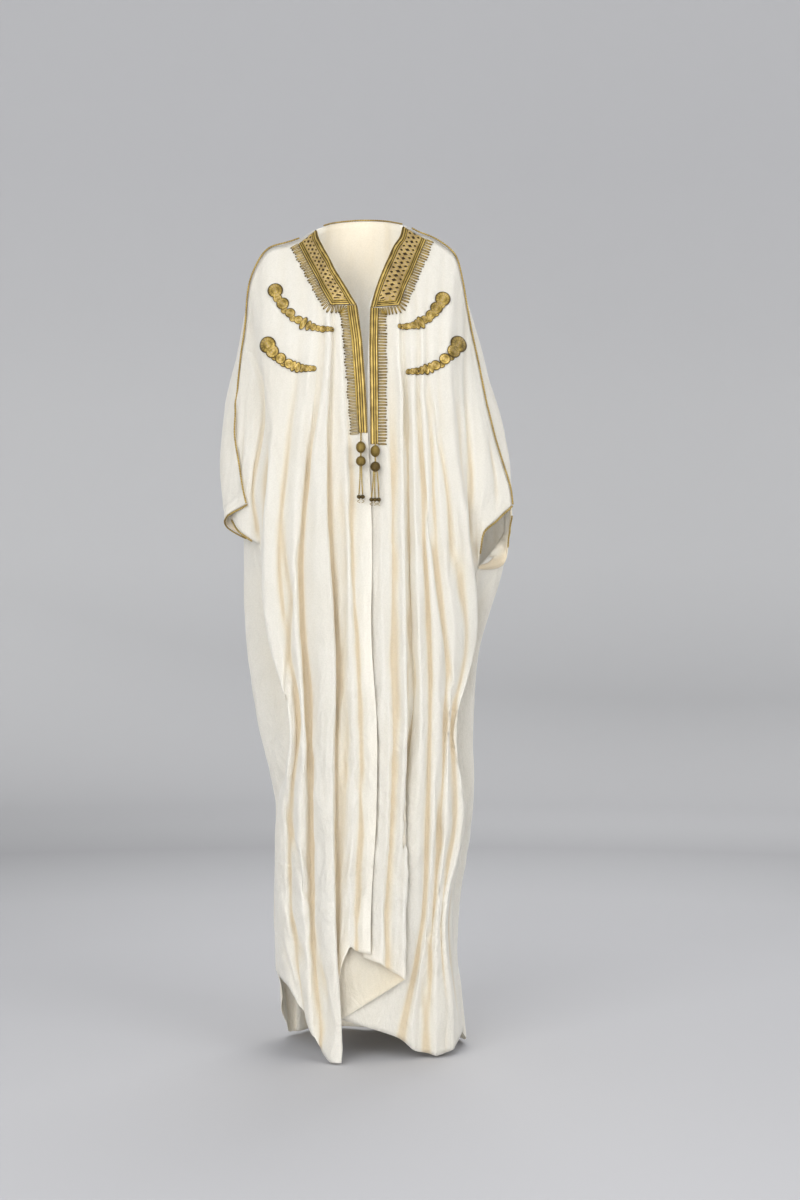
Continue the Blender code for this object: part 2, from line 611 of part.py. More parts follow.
def make_chain(chain, tree, material):
    """A row of discs that overlap, as one strip whose width follows the discs along its curve."""
    t = np.linspace(0, 1, 60)[:, None]
    start, turn, end = (np.array(p, float) for p in (chain.start, chain.turn, chain.end))
    curve = (1 - t) ** 2 * start + 2 * t * (1 - t) * turn + t**2 * end
    run = np.concatenate([[0], np.cumsum(np.linalg.norm(np.diff(curve, axis=0), axis=1))])
    radii = np.array(chain.radii, float)
    steps = radii[:-1] + radii[1:]
    centres = np.concatenate([[0], np.cumsum(steps)]) * run[-1] / steps.sum()
    at = np.linspace(-radii[0], run[-1] + radii[-1], len(radii) * STATIONS_PER_DISC + 1)
    half = np.sqrt(np.maximum(radii**2 - (at[:, None] - centres) ** 2, 0)).max(axis=1)
    half = np.maximum(half, 0.35 * np.interp(at, centres, radii))
    middle = smooth_through(run, curve, at)
    slope = unit(np.gradient(curve, run, axis=0))
    middle += np.minimum(at, 0)[:, None] * slope[0] + np.maximum(at - run[-1], 0)[:, None] * slope[-1]
    direction = smooth_through(run, slope, at)
    sideways = np.stack([-direction[:, 1], direction[:, 0]], axis=1) * half[:, None]
    places = np.stack([middle - sideways, middle, middle + sideways], axis=1)
    return lay_sheet(chain.name, tree, places, (0.55, 1.0, 0.55), material, CHAIN_LIFT, CHAIN_THICKNESS)


def tube(path, radii, sides):
    """Points and faces of a closed tube along a path, its rings turned as little as they can be."""
    path = np.asarray(path, float)
    radii = np.broadcast_to(radii, len(path))
    along = unit(np.gradient(path, axis=0))
    across = unit(np.cross(along[0], (0.3, 1.0, 0.2)))
    turn = np.arange(sides) * 2 * np.pi / sides
    rings = []
    for centre, forward, radius in zip(path, along, radii):
        across = unit(across - across.dot(forward) * forward)
        other = np.cross(forward, across)
        rings.append(centre + radius * (np.outer(np.cos(turn), across) + np.outer(np.sin(turn), other)))
    points = np.concatenate(rings)
    faces = []
    for ring in range(len(path) - 1):
        low = ring * sides
        for k in range(sides):
            after = (k + 1) % sides
            faces.append([low + k, low + after, low + sides + after, low + sides + k])
    faces.append(list(range(sides))[::-1])
    faces.append(list(range(len(points) - sides, len(points))))
    return points, faces


def make_cord(name, edge, outward, material, gap=CORD_GAP):
    """A round cord beside an edge of the cloth, moved off it in the outward directions, made square to it."""
    along = unit(np.gradient(edge, axis=0))
    outward = unit(outward - (outward * along).sum(axis=1, keepdims=True) * along)
    for _ in range(2):
        padded = np.vstack([outward[:1], outward, outward[-1:]])
        outward = unit(padded[:-2] + 2 * padded[1:-1] + padded[2:])
    path = edge + outward * (CORD_RADIUS + gap)
    points, faces = tube(path, CORD_RADIUS, CORD_SIDES)
    return add_object(name, points, faces, material)


def tassel_profile(tassel, y_top, y_low):
    """Points and radii down the tassel's stem: a cord, a ball, a cord and a ball."""
    rows = [(tassel.top, TASSEL_CORD_RADIUS)]
    for ball in tassel.balls:
        turn = np.linspace(0.25, np.pi - 0.25, 6)
        rows += [(ball.height + ball.half_height * np.cos(a), ball.half_width * np.sin(a)) for a in turn]
    heights = np.array([row[0] for row in rows])
    radii = np.array([row[1] for row in rows])
    y = np.interp(heights, [tassel.balls[0].height, tassel.top], [y_low, y_top])
    return np.column_stack([np.full_like(heights, tassel.x), y, heights]), radii


def make_tassel(tassel, tree, material):
    """A tassel hanging clear of the cloth, its strands' roots inside the lower ball."""
    widest = max(ball.half_width for ball in tassel.balls)
    low, high = tassel.strand_end, tassel.balls[0].height
    nearest = min(
        on_cloth(tree, tassel.x + dx, height)[1]
        for dx in (-widest, 0, widest)
        for height in np.linspace(low, high + widest, 9)
    )
    y_low = nearest - widest - CORD_GAP
    y_top = on_cloth(tree, tassel.x, tassel.top)[1] - PLACKET_LIFT - TASSEL_CORD_RADIUS / 2
    path, radii = tassel_profile(tassel, y_top, y_low)
    stem = add_object(tassel.name, *tube(path, radii, 8), material)
    lower = tassel.balls[-1]
    for offset in tassel.strands:
        top = lower.height - 0.4 * lower.half_height
        rows = (
            (offset * 0.4, top, STRAND_RADIUS),
            (offset * 0.7, (top + low) / 2, STRAND_RADIUS),
            (offset, low + KNOT_HEIGHT, STRAND_RADIUS),
            (offset, low + 0.7 * KNOT_HEIGHT, KNOT_RADIUS),
            (offset, low + 0.2 * KNOT_HEIGHT, KNOT_RADIUS),
            (offset, low - 0.1 * KNOT_HEIGHT, STRAND_RADIUS),
        )
        points = [(tassel.x + dx, y_low, height) for dx, height, _ in rows]
        strand = add_object(f"{tassel.name}_strand", *tube(points, [r for _, _, r in rows], 4), material)
        strand.hide_render = True
        strand.display_type = "WIRE"
        join = stem.modifiers.new("strand", "BOOLEAN")
        join.operation = "UNION"
        join.object = strand
    return stem


def make_cords(right, left, back, material):
    """The cords on the top seams, on the neck's back edge and round the two hand openings."""
    seam_start = 2
    for panel, side, neck_line, lines in (
        (right, "right", RIGHT_NECK_LINE, FRONT_RIGHT_FOLDS),
        (left, "left", LEFT_NECK_LINE, FRONT_LEFT_FOLDS),
    ):
        first = column_of(lines, neck_line) + seam_start
        top = panel.grid[0, first:]
        facing = panel.normals[0, first:]
        sleeve_column = 0 if side == "right" else -1
        sleeve = back.grid[1:UPPER_ROWS + 1, sleeve_column]
        sleeve_facing = back.normals[1:UPPER_ROWS + 1, sleeve_column]
        make_cord(f"seam_cord_{side}", np.vstack([top, sleeve]), np.vstack([facing, sleeve_facing]), material)
    neck = slice(column_of(BACK_LINES, "right blade crest") + 1, column_of(BACK_LINES, "left blade crest"))
    make_cord("neck_cord", back.grid[0, neck], back.grid[0, neck] - back.grid[1, neck], material)
    for panel, name, columns in (
        (right, "cuff_cord_right_front", slice(-6, None)),
        (back, "cuff_cord_right_back", slice(0, 6)),
        (left, "cuff_cord_left_front", slice(-6, None)),
        (back, "cuff_cord_left_back", slice(-4, -1)),
    ):
        rim = panel.grid[UPPER_ROWS, columns]
        make_cord(name, rim, rim - panel.grid[UPPER_ROWS - 1, columns], material, CUFF_CORD_GAP)


def main():
    clear_scene()
    cream = make_material("cream cloth", CREAM, 0.8, 0.0)
    gold = make_material("gold braid", GOLD, 0.4, 0.6)
    cord = make_material("gold cord", GOLD, 0.45, 0.6)
    dark_gold = make_material("dark gold thread", DARK_GOLD, 0.5, 0.4)
    right, left, back = make_panels()
    for panel in (right, left, back):
        add_panel(panel, cream)
    right_tree = right.surface()
    left_tree = left.surface()
    make_band(BAND_RIGHT, right, right_tree, column_of(FRONT_RIGHT_FOLDS, RIGHT_NECK_LINE), gold)
    make_band(BAND_LEFT, left, left_tree, column_of(FRONT_LEFT_FOLDS, LEFT_NECK_LINE), gold)
    make_placket(PLACKET_RIGHT, right_tree, -1, gold)
    make_placket(PLACKET_LEFT, left_tree, 1, gold)
    for chain in CHAINS:
        make_chain(chain, right_tree if chain.start[0] < 0 else left_tree, gold)
    make_tassel(TASSEL_RIGHT, right_tree, dark_gold)
    make_tassel(TASSEL_LEFT, left_tree, dark_gold)
    make_cords(right, left, back, cord)


main()
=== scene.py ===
"""A kaftan of cream cloth with gold bands, discs, cords and tassels, dressed over its solid parts.

The three panels repeat the solids' own fold tables at a finer spacing, then take soft creases and
crinkles. Everything gold is laid on the creased cloth. Tables are in millimetres, heights are above
the floor, +X is the wearer's left and -Y is the front. Meshes are in metres from the shoulders.
"""

from collections import namedtuple
from functools import lru_cache

import bpy
import numpy as np
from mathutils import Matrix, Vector


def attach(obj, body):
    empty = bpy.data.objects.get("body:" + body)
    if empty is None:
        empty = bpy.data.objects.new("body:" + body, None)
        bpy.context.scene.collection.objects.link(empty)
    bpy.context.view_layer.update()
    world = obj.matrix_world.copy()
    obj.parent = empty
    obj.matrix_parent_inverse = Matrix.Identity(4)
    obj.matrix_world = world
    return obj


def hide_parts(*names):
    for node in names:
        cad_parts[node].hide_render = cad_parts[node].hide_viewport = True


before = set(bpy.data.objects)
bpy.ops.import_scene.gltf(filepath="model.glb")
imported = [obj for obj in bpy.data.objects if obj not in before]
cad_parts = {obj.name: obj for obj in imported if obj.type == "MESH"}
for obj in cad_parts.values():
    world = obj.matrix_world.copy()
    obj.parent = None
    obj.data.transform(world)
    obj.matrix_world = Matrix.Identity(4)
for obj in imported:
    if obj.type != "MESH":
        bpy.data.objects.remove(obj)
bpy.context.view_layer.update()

bl_info = {
    "name": "Kaftan",
    "version": (1, 0, 0),
    "blender": (4, 5, 0),
    "location": "3D View > Sidebar > Kaftan",
    "description": "Makes the cloth, bands, discs, cords and tassels of an open-fronted kaftan",
    "category": "Object",
}

MM = 0.001
HELD_HEIGHT = 1500.0
BODY = "root"

SEAM_GAP = 0.8
NECK_POINT_GAP = 1.0
CUFF_POINT_GAP = 2.4
UPPER_ROWS = 48
LOWER_ROWS = 112
BETWEEN_FOLDS = 8
HEM_CLEARANCE = 4.0
FACING_ROWS = 2

# Heights at which the fold tables give a fold line's place, and those at which they give its rise.
HEIGHTS = (1320, 1120, 940, 760, 600, 450, 250, 50)
RISE_HEIGHTS = (1320, 940, 450, 50)

# The outline of the whole garment seen from above: half widths to either side and depths.
Outline = namedtuple("Outline", "height right left front back")
OUTLINE = (
    Outline(1450, 206, 186, 72, 70),
    Outline(1320, 236, 218, 118, 98),
    Outline(1120, 270, 262, 130, 112),
    Outline(940, 250, 266, 138, 120),
    Outline(760, 226, 216, 145, 128),
    Outline(600, 202, 198, 150, 136),
    Outline(450, 174, 198, 156, 144),
    Outline(250, 174, 174, 163, 156),
    Outline(50, 162, 180, 172, 168),
)
OUTLINE_POWER = 2.6

# A fold line: its point on the top edge, its x at HEIGHTS, its rise off the outline at
# RISE_HEIGHTS (a crest is positive, a trough negative) and its height at the hem.
Fold = namedtuple("Fold", "name top x rise hem")

# A line near the side, given by its points from the top seam down to the cuff level, and from there
# to the hem. A line of the sleeve ends at the hand opening and has nothing below it.
SideLine = namedtuple("SideLine", "name upper lower")

FRONT_RIGHT_FOLDS = (
    Fold("edge", (-20, -102, 1374), (-11, 4, 11, 10, 20, 19, 9, 9), (2, 6, 6, 6), 196),
    Fold("first crest", (-28, -98, 1386), (-25, -12, 0, -3, 6, 6, -3, -7), (2, 6, 6, 5), 198),
    Fold("first trough", (-37, -91, 1401), (-38, -29, -22, -16, -9, -9, -16, -20), (0, -4, -4, -3), 200),
    Fold("second crest", (-48, -80, 1419), (-47, -40, -33, -29, -24, -25, -31, -34), (1, 3, 3, 2), 202),
    Fold("deep trough", (-60, -69, 1439), (-60, -64, -60, -53, -52, -52, -52, -54), (-5, -15, -17, -14), 120),
    Fold("lapped edge", (-67, -58, 1455), (-66, -73, -70, -60, -57, -57, -55, -42), (3, 10, 13, 16), 8),
    Fold("broad crest", (-78, -45, 1476), (-72, -88, -90, -85, -80, -80, -74, -60), (3, 10, 13, 15), 3),
    Fold(
        "long trough", (-89, -25, 1499),
        (-83, -101, -114, -112, -99, -99, -95, -80), (-3, -10, -14, -10), 22,
    ),
    Fold("arm crest", (-97, -5, 1519), (-97, -119, -130, -126, -112, -119, -112, -94), (3, 8, 9, 8), 48),
    Fold(
        "arm trough", (-125, 0, 1503),
        (-119, -141, -152, -142, -124, -135, -130, -104), (-2, -8, -7, -6), 80,
    ),
    Fold("hip crest", (-151, 0, 1494), (-146, -162, -172, -160, -131, -146, -144, -118), (2, 5, 6, 8), 105),
    Fold("outer fold", (-188, -3, 1480), (-174, -174, -186, -179, -137, -156, -156, -136), (0, 8, 8, 8), 132),
)
FRONT_RIGHT_SIDE = (
    SideLine(
        "arm line",
        ((-217, -12, 1419), (-198, -72, 1320), (-182, -100, 1120), (-192, -90, 940)),
        ((-192, -90, 940), (-190, -72, 860), (-168, -58, 760), (-134, -62, 600), (-162, -62, 450),
         (-167, -60, 250), (-164, -55, 145)),
    ),
    SideLine(
        "side seam",
        ((-225, -25, 1331), (-206, -54, 1279), (-188, -76, 1206), (-190, -80, 1148), (-206, -76, 1058),
         (-203, -74, 980), (-196, -70, 933)),
        ((-196, -70, 933), (-180, -42, 860), (-152, -22, 760), (-130, -26, 600), (-160, -22, 450),
         (-171, -16, 250), (-170, -12, 150)),
    ),
    SideLine("sleeve crest", ((-231, -32, 1289), (-208, -76, 1180), (-212, -80, 1110), (-222, -72, 949)), ()),
    SideLine("sleeve tuck", ((-235, -40, 1246), (-234, -60, 1180), (-232, -68, 1120), (-240, -58, 964)), ()),
    SideLine("sleeve edge", ((-241, -47, 1208), (-247, -45, 1160), (-249, -47, 1100), (-250, -42, 980)), ()),
)
FRONT_LEFT_FOLDS = (
    Fold("edge", (6, -102, 1371), (5, -1, -2, -3, 6, 5, -5, -5), (1, -7, -7, -6), 188),
    Fold("first crest", (25, -80, 1421), (25, 33, 36, 34, 38, 36, 27, 27), (1, 3, 4, 4), 178),
    Fold("first trough", (38, -65, 1453), (40, 47, 49, 49, 51, 47, 38, 40), (-1, -5, -6, -5), 168),
    Fold("pleat edge", (50, -42, 1482), (58, 67, 71, 72, 74, 70, 66, 68), (3, 8, 9, 6), 152),
    Fold("pleat turn", (56, -32, 1493), (62, 72, 75, 77, 78, 69, 60, 58), (-1, -3, 1, -15), 140),
    Fold("pleat inside", (61, -23, 1501), (65, 75, 78, 81, 80, 40, -44, -44), (-5, -14, -22, -24), 74),
    Fold("pleat under", (65, -14, 1514), (69, 79, 82, 86, 85, 46, -41, -41), (-4, -12, -27, -29), 72),
    Fold("second crest", (69, -5, 1527), (80, 86, 90, 96, 99, 91, 80, 30), (3, 5, 4, -32), 50),
    Fold("second trough", (82, 0, 1522), (92, 98, 104, 112, 115, 110, 101, 62), (-2, -5, -7, -37), 36),
    Fold("third crest", (95, 0, 1514), (101, 108, 114, 128, 130, 122, 112, 86), (2, 4, 5, -22), 18),
    Fold("slant trough", (112, 0, 1509), (110, 118, 126, 144, 142, 135, 121, 108), (-2, -7, -8, -26), 10),
    Fold("fourth crest", (129, 0, 1501), (122, 128, 140, 163, 150, 147, 129, 128), (1, 3, 6, -10), 5),
    Fold("short trough", (145, -2, 1490), (135, 138, 157, 182, 156, 162, 136, 146), (-1, -5, -4, -10), 8),
    Fold("outer fold", (164, -5, 1471), (153, 160, 186, 202, 163, 178, 144, 164), (0, 6, 8, 2), 14),
)
FRONT_LEFT_SIDE = (
    SideLine(
        "arm line",
        ((175, -12, 1429), (170, -72, 1320), (174, -98, 1120), (190, -94, 935)),
        ((190, -94, 935), (198, -76, 850), (188, -62, 760), (152, -62, 600), (174, -66, 450),
         (150, -62, 250), (170, -58, 24)),
    ),
    SideLine(
        "side seam",
        ((186, -22, 1364), (183, -58, 1278), (186, -82, 1169), (193, -86, 1059), (196, -84, 976),
         (204, -56, 890)),
        ((204, -56, 890), (190, -32, 820), (174, -16, 760), (152, -20, 600), (180, -22, 450), (160, -16, 250),
         (178, -12, 30)),
    ),
    SideLine("sleeve crest", ((200, -32, 1293), (205, -64, 1200), (213, -84, 1110), (211, -84, 950)), ()),
    SideLine("sleeve middle", ((213, -40, 1227), (219, -60, 1170), (228, -74, 1100), (238, -76, 977)), ()),
    SideLine(
        "sleeve edge",
        ((220, -47, 1190), (237, -55, 1121), (251, -60, 1075), (264, -62, 1032), (267, -62, 1005)),
        (),
    ),
)

# The back has a line for each line that the fronts bring to the shoulder seams, and a few between.
BACK_RIGHT_SIDE = (
    SideLine(
        "sleeve edge",
        ((-241, -47, 1208), (-241, -56, 1172), (-240, -65, 1124), (-236, -71, 1092), (-231, -77, 1062),
         (-224, -81, 1032), (-218, -82, 1007)),
        (),
    ),
    SideLine(
        "sleeve flap",
        ((-235, -40, 1246), (-261, -26, 1180), (-268, -34, 1120), (-268, -42, 1050), (-259, -52, 984)),
        (),
    ),
    SideLine(
        "sleeve side",
        ((-231, -32, 1289), (-257, -4, 1220), (-269, 8, 1120), (-268, 4, 1040), (-252, -12, 962)),
        (),
    ),
    SideLine(
        "side seam",
        ((-225, -25, 1331), (-250, 8, 1260), (-263, 36, 1180), (-264, 44, 1120), (-256, 40, 1040),
         (-232, 2, 968), (-196, -70, 933)),
        ((-196, -70, 933), (-180, -42, 860), (-152, -22, 760), (-130, -26, 600), (-160, -22, 450),
         (-171, -16, 250), (-170, -12, 150)),
    ),
    SideLine(
        "wing",
        ((-217, -12, 1419), (-234, 25, 1320), (-250, 54, 1220), (-252, 68, 1120), (-247, 62, 1040),
         (-232, 24, 940)),
        ((-232, 24, 940), (-228, 8, 860), (-224, 4, 760), (-201, 8, 600), (-171, 18, 450), (-174, 26, 250),
         (-158, 20, 70)),
    ),
    SideLine(
        "shoulder side",
        ((-188, -3, 1480), (-206, 25, 1400), (-218, 52, 1320), (-229, 78, 1220), (-228, 90, 1120),
         (-216, 80, 940)),
        ((-216, 80, 940), (-210, 62, 760), (-188, 64, 600), (-162, 74, 450), (-166, 88, 250), (-152, 86, 14)),
    ),
)
BACK_FOLDS = (
    Fold(
        "right hip crest", (-151, 0, 1494),
        (-186, -198, -192, -188, -170, -150, -150, -142), (2, 5, 7, 7), 6,
    ),
    Fold(
        "right hip trough", (-125, 0, 1503),
        (-155, -166, -168, -166, -154, -136, -134, -128), (-2, -5, -7, -7), 5,
    ),
    Fold(
        "right blade crest", (-97, -5, 1519),
        (-122, -132, -134, -130, -120, -106, -108, -104), (2, 9, 14, 15), 4,
    ),
    Fold(
        "right blade trough", (-64, 46, 1538),
        (-84, -98, -104, -106, -100, -88, -90, -88), (-1, -9, -14, -13), 6,
    ),
    Fold("spine crest", (-14, 72, 1547), (-26, -38, -50, -60, -62, -56, -52, -50), (1, 4, 8, 10), 4),
    Fold("left blade trough", (36, 50, 1542), (28, 18, 4, -6, -10, -4, 0, 2), (-1, -6, -9, -8), 5),
    Fold("left blade crest", (69, -5, 1527), (66, 62, 52, 42, 36, 40, 42, 44), (1, 6, 12, 14), 4),
    Fold("second trough", (82, 0, 1522), (86, 88, 84, 74, 68, 72, 70, 72), (-1, -7, -12, -13), 5),
    Fold("second crest", (95, 0, 1514), (104, 110, 110, 100, 94, 98, 90, 94), (1, 3, 5, 6), 4),
    Fold("third trough", (112, 0, 1509), (122, 130, 130, 118, 112, 116, 104, 110), (-1, -3, -5, -6), 5),
    Fold("third crest", (129, 0, 1501), (140, 154, 160, 146, 138, 144, 126, 134), (1, 6, 9, 10), 4),
    Fold("hip trough", (145, -2, 1490), (158, 176, 181, 161, 154, 161, 142, 151), (-1, -5, -6, -6), 5),
    Fold("hip crest", (164, -5, 1471), (176, 200, 208, 182, 172, 178, 155, 164), (1, 4, 5, 5), 4),
)
BACK_LEFT_SIDE = (
    SideLine(
        "wing",
        ((175, -12, 1429), (207, 28, 1320), (230, 52, 1220), (244, 64, 1120), (251, 54, 1040),
         (261, 16, 930)),
        ((261, 16, 930), (250, 12, 875), (230, 10, 810), (214, 6, 760), (198, 10, 600), (198, 16, 450),
         (186, 16, 350), (171, 20, 250), (181, 16, 8)),
    ),
    SideLine(
        "side seam",
        ((186, -22, 1364), (216, 4, 1278), (240, 28, 1200), (257, 36, 1120), (264, 28, 1040), (258, 2, 950),
         (204, -56, 890)),
        ((204, -56, 890), (190, -32, 820), (174, -16, 760), (152, -20, 600), (180, -22, 450), (160, -16, 250),
         (178, -12, 30)),
    ),
    SideLine(
        "sleeve side",
        ((200, -32, 1293), (232, -6, 1220), (260, 2, 1120), (268, -6, 1040), (267, -10, 960), (254, -8, 896)),
        (),
    ),
    SideLine(
        "sleeve flap",
        ((213, -40, 1227), (240, -24, 1180), (258, -28, 1120), (268, -38, 1040), (266, -36, 965)),
        (),
    ),
    SideLine(
        "sleeve edge",
        ((220, -47, 1190), (237, -55, 1121), (251, -60, 1075), (264, -62, 1032), (267, -62, 1005)),
        (),
    ),
)
BACK_LINES = BACK_RIGHT_SIDE + BACK_FOLDS + BACK_LEFT_SIDE
CUFF_LEVEL = 935
RIGHT_NECK_LINE = "arm crest"
LEFT_NECK_LINE = "second crest"

# A crease pressed into the cloth: its path from the top down as (x, height), its half width and depth.
Crease = namedtuple("Crease", "path width depth")
RIGHT_CREASES = (
    Crease(((-219, 1296), (-192, 1238), (-185, 1173), (-196, 1104), (-209, 1026), (-200, 971)), 6, 3.2),
    Crease(((-125, 1238), (-140, 1136), (-147, 1048), (-158, 964), (-158, 866)), 6, 2.6),
    Crease(((-118, 1231), (-107, 1136), (-107, 1049)), 5, 1.8),
    Crease(((-78, 1296), (-85, 1202), (-100, 1111), (-112, 993), (-118, 895), (-114, 776), (-105, 667),
            (-100, 540), (-99, 382), (-96, 253), (-94, 147)), 7, 4.6),
    Crease(((-149, 932), (-136, 819), (-143, 703), (-149, 550)), 6, 2.8),
    Crease(((-120, 946), (-136, 830)), 5, 1.8),
    Crease(((-60, 1296), (-67, 1120), (-66, 975), (-58, 866), (-49, 721), (-54, 535), (-51, 353),
            (-49, 201)), 5, 3.6),
    Crease(((-45, 1011), (-38, 917), (-38, 812), (-42, 663), (-35, 585), (-42, 455), (-44, 353)), 6, 3.0),
    Crease(((-27, 968), (-24, 837), (-15, 761)), 5, 2.0),
    Crease(((-152, 516), (-142, 435), (-125, 364), (-111, 308), (-96, 277)), 7, 3.4),
    Crease(((-147, 299), (-129, 232), (-105, 163)), 7, 3.2),
    Crease(((-80, 177), (-65, 101), (-60, 63)), 6, 2.4),
    Crease(((-160, 226), (-143, 172), (-118, 101)), 6, 2.6),
    Crease(((-29, 563), (-11, 480), (-6, 413)), 5, 1.6),
    Crease(((-16, 352), (7, 330)), 4, 1.2),
    Crease(((-14, 318), (6, 296)), 4, 1.2),
    Crease(((-176, 1140), (-158, 1080), (-150, 1010)), 5, 1.6),
    Crease(((-224, 1180), (-228, 1110), (-236, 1030)), 5, 1.8),
    Crease(((-72, 640), (-78, 520), (-72, 430)), 6, 1.8),
    Crease(((-128, 700), (-120, 600), (-124, 500)), 6, 2.0),
)
LEFT_CREASES = (
    Crease(((63, 1296), (72, 1202), (72, 1048), (76, 830), (80, 612), (72, 449), (63, 291)), 6, 4.8),
    Crease(((96, 1296), (94, 1202), (100, 1093), (109, 993), (125, 902), (138, 801), (150, 703),
            (161, 627)), 6, 3.6),
    Crease(((105, 968), (107, 902), (112, 812), (118, 685), (114, 563), (114, 427), (111, 286)), 6, 3.2),
    Crease(((101, 1231), (110, 1183), (118, 1129), (120, 1100)), 5, 2.2),
    Crease(((107, 1216), (129, 1136), (140, 1086), (152, 1000), (156, 921), (152, 888)), 6, 3.8),
    Crease(((159, 1011), (167, 975), (179, 884)), 5, 2.0),
    Crease(((158, 1245), (165, 1165)), 5, 1.8),
    Crease(((181, 1274), (185, 1165), (188, 1118), (192, 1057), (192, 975)), 6, 3.0),
    Crease(((85, 427), (92, 299), (93, 172), (80, 74)), 6, 2.6),
    Crease(((101, 299), (116, 190), (116, 101)), 6, 2.4),
    Crease(((103, 146), (110, 47)), 5, 1.8),
    Crease(((120, 467), (140, 495), (158, 522)), 6, 2.2),
    Crease(((36, 900), (40, 700), (34, 500), (30, 330)), 7, 2.2),
    Crease(((17, 1010), (20, 910), (22, 810)), 5, 2.6),
    Crease(((20, 570), (21, 460), (18, 372)), 5, 2.4),
    Crease(((228, 1120), (236, 1060), (240, 1000)), 5, 1.8),
    Crease(((130, 620), (126, 500), (134, 380)), 6, 1.8),
    Crease(((22, 300), (26, 240), (20, 190)), 5, 1.4),
)
BACK_CREASES = (
    Crease(((-190, 1390), (-202, 1240), (-210, 1080), (-200, 960)), 7, 3.4),
    Crease(((-152, 1420), (-160, 1250), (-150, 1060), (-158, 880)), 6, 2.6),
    Crease(((-90, 1440), (-106, 1280), (-112, 1080), (-104, 860), (-90, 600), (-94, 380)), 7, 4.0),
    Crease(((-62, 1180), (-74, 980), (-66, 740), (-76, 520)), 6, 2.4),
    Crease(((-20, 1430), (-12, 1270), (-22, 1120)), 6, 2.0),
    Crease(((24, 1380), (14, 1180), (2, 940), (-8, 690), (-4, 420), (4, 170)), 7, 4.2),
    Crease(((48, 1300), (60, 1090), (52, 900)), 6, 2.2),
    Crease(((92, 1430), (90, 1220), (84, 980), (70, 740), (74, 480), (66, 250)), 7, 3.8),
    Crease(((128, 1400), (134, 1180), (120, 930), (116, 660)), 6, 2.8),
    Crease(((176, 1360), (186, 1150), (178, 960)), 6, 2.6),
    Crease(((-140, 700), (-132, 520), (-138, 330), (-124, 160)), 7, 3.0),
    Crease(((150, 800), (142, 590), (154, 380), (140, 180)), 7, 3.2),
    Crease(((36, 560), (44, 380), (34, 190)), 6, 2.2),
    Crease(((-52, 430), (-46, 260), (-58, 110)), 6, 2.4),
    Crease(((-222, 1240), (-236, 1120), (-230, 1010)), 5, 2.0),
)

# Crinkles all over the cloth: cell size across and down, depth, and the seed of their random heights.
Crinkle = namedtuple("Crinkle", "across down depth seed")
CRINKLES = (
    Crinkle(15, 95, 1.0, 11),
    Crinkle(32, 170, 1.7, 12),
    Crinkle(46, 52, 1.2, 13),
    Crinkle(9, 34, 0.4, 14),
)
CRUMPLE = Crinkle(19, 30, 1.1, 16)
CRUMPLE_LEVELS = (900, 500)
HEM_RIPPLE = Crinkle(60, 400, 4.0, 15)
HEM_RIPPLE_HEIGHT = 160
SEAM_CALM = 26
BAND_CALM = 55
HEM_FOLD = 16
# Share of the painted fold shade taken off the chest.
CHEST_FOLD_SHADE_CALM = 0.65
CREASE_SHARE = 0.72
# Height above which the painted fold shade is held back on the chest, and the span it eases in over.
CHEST_LEVELS = (1040, 220)
# Painted shade on the insides of the panels: an even part, and a share that grows in their hollows.
INNER_PAINTED_SHADE = 0.5
INNER_HOLLOW_SHADE = 0.35
HEM_RIDGE = 0.5

# The wide bands at the neck, seen from the front: the outer edge's ends, and the bottom's inner end.
Band = namedtuple("Band", "name outer_top outer_bottom inner_bottom")
BAND_RIGHT = Band("neck_band_right", (-129, 1494), (-66, 1367), (-18, 1367))
BAND_LEFT = Band("neck_band_left", (111, 1503), (59, 1366), (9, 1362))
BAND_ROWS = 200
BAND_COLUMNS = 84
BAND_TOP_INSET = 0.02
BAND_LIFT = 0.7

# The narrow plackets below them: inner edge and width at four heights.
Placket = namedtuple("Placket", "name heights inner width")
PLACKET_RIGHT = Placket("placket_right", (1366, 1300, 1220, 1132), (-17, -8, -2, 2), (18, 18, 18, 15))
PLACKET_LEFT = Placket("placket_left", (1361, 1300, 1220, 1112), (8, 7, 8, 9), (15, 15, 15, 13))
PLACKET_ROWS = 260
PLACKET_COLUMNS = 34

# Stripes of braid, from an edge inwards: where each starts and ends, its tone and its height.
Stripe = namedtuple("Stripe", "start end tone height")
DARK, OLIVE, GOLD, BRIGHT, PALE = 0.05, 0.32, 0.66, 0.82, 1.0
NECK_STRIPES = (
    Stripe(0.0, 1.8, 0.2, 1.9),
    Stripe(1.8, 5.0, BRIGHT, 1.4),
    Stripe(5.0, 6.3, DARK, 0.5),
    Stripe(6.3, 8.9, GOLD, 1.3),
    Stripe(8.9, 9.9, DARK, 0.5),
)
OUTER_STRIPES = (
    Stripe(0.0, 1.1, DARK, 0.5),
    Stripe(1.1, 3.6, BRIGHT, 1.4),
    Stripe(3.6, 4.8, DARK, 0.5),
    Stripe(4.8, 7.2, GOLD, 1.4),
    Stripe(7.2, 8.4, DARK, 0.5),
    Stripe(8.4, 10.4, GOLD, 1.2),
)
PLACKET_STRIPES = (
    Stripe(0.0, 1.8, 0.2, 2.0),
    Stripe(1.8, 5.0, BRIGHT, 1.4),
    Stripe(5.0, 6.3, DARK, 0.5),
    Stripe(6.3, 9.3, GOLD, 1.4),
    Stripe(9.3, 10.6, DARK, 0.5),
    Stripe(10.6, 13.4, BRIGHT, 1.4),
    Stripe(13.4, 14.6, DARK, 0.5),
    Stripe(14.6, 30.0, GOLD, 1.2),
)
DIAMOND_ALONG = 9.5
DIAMOND_ROWS = 3
LOOP_HALF_WIDTH = 1.35

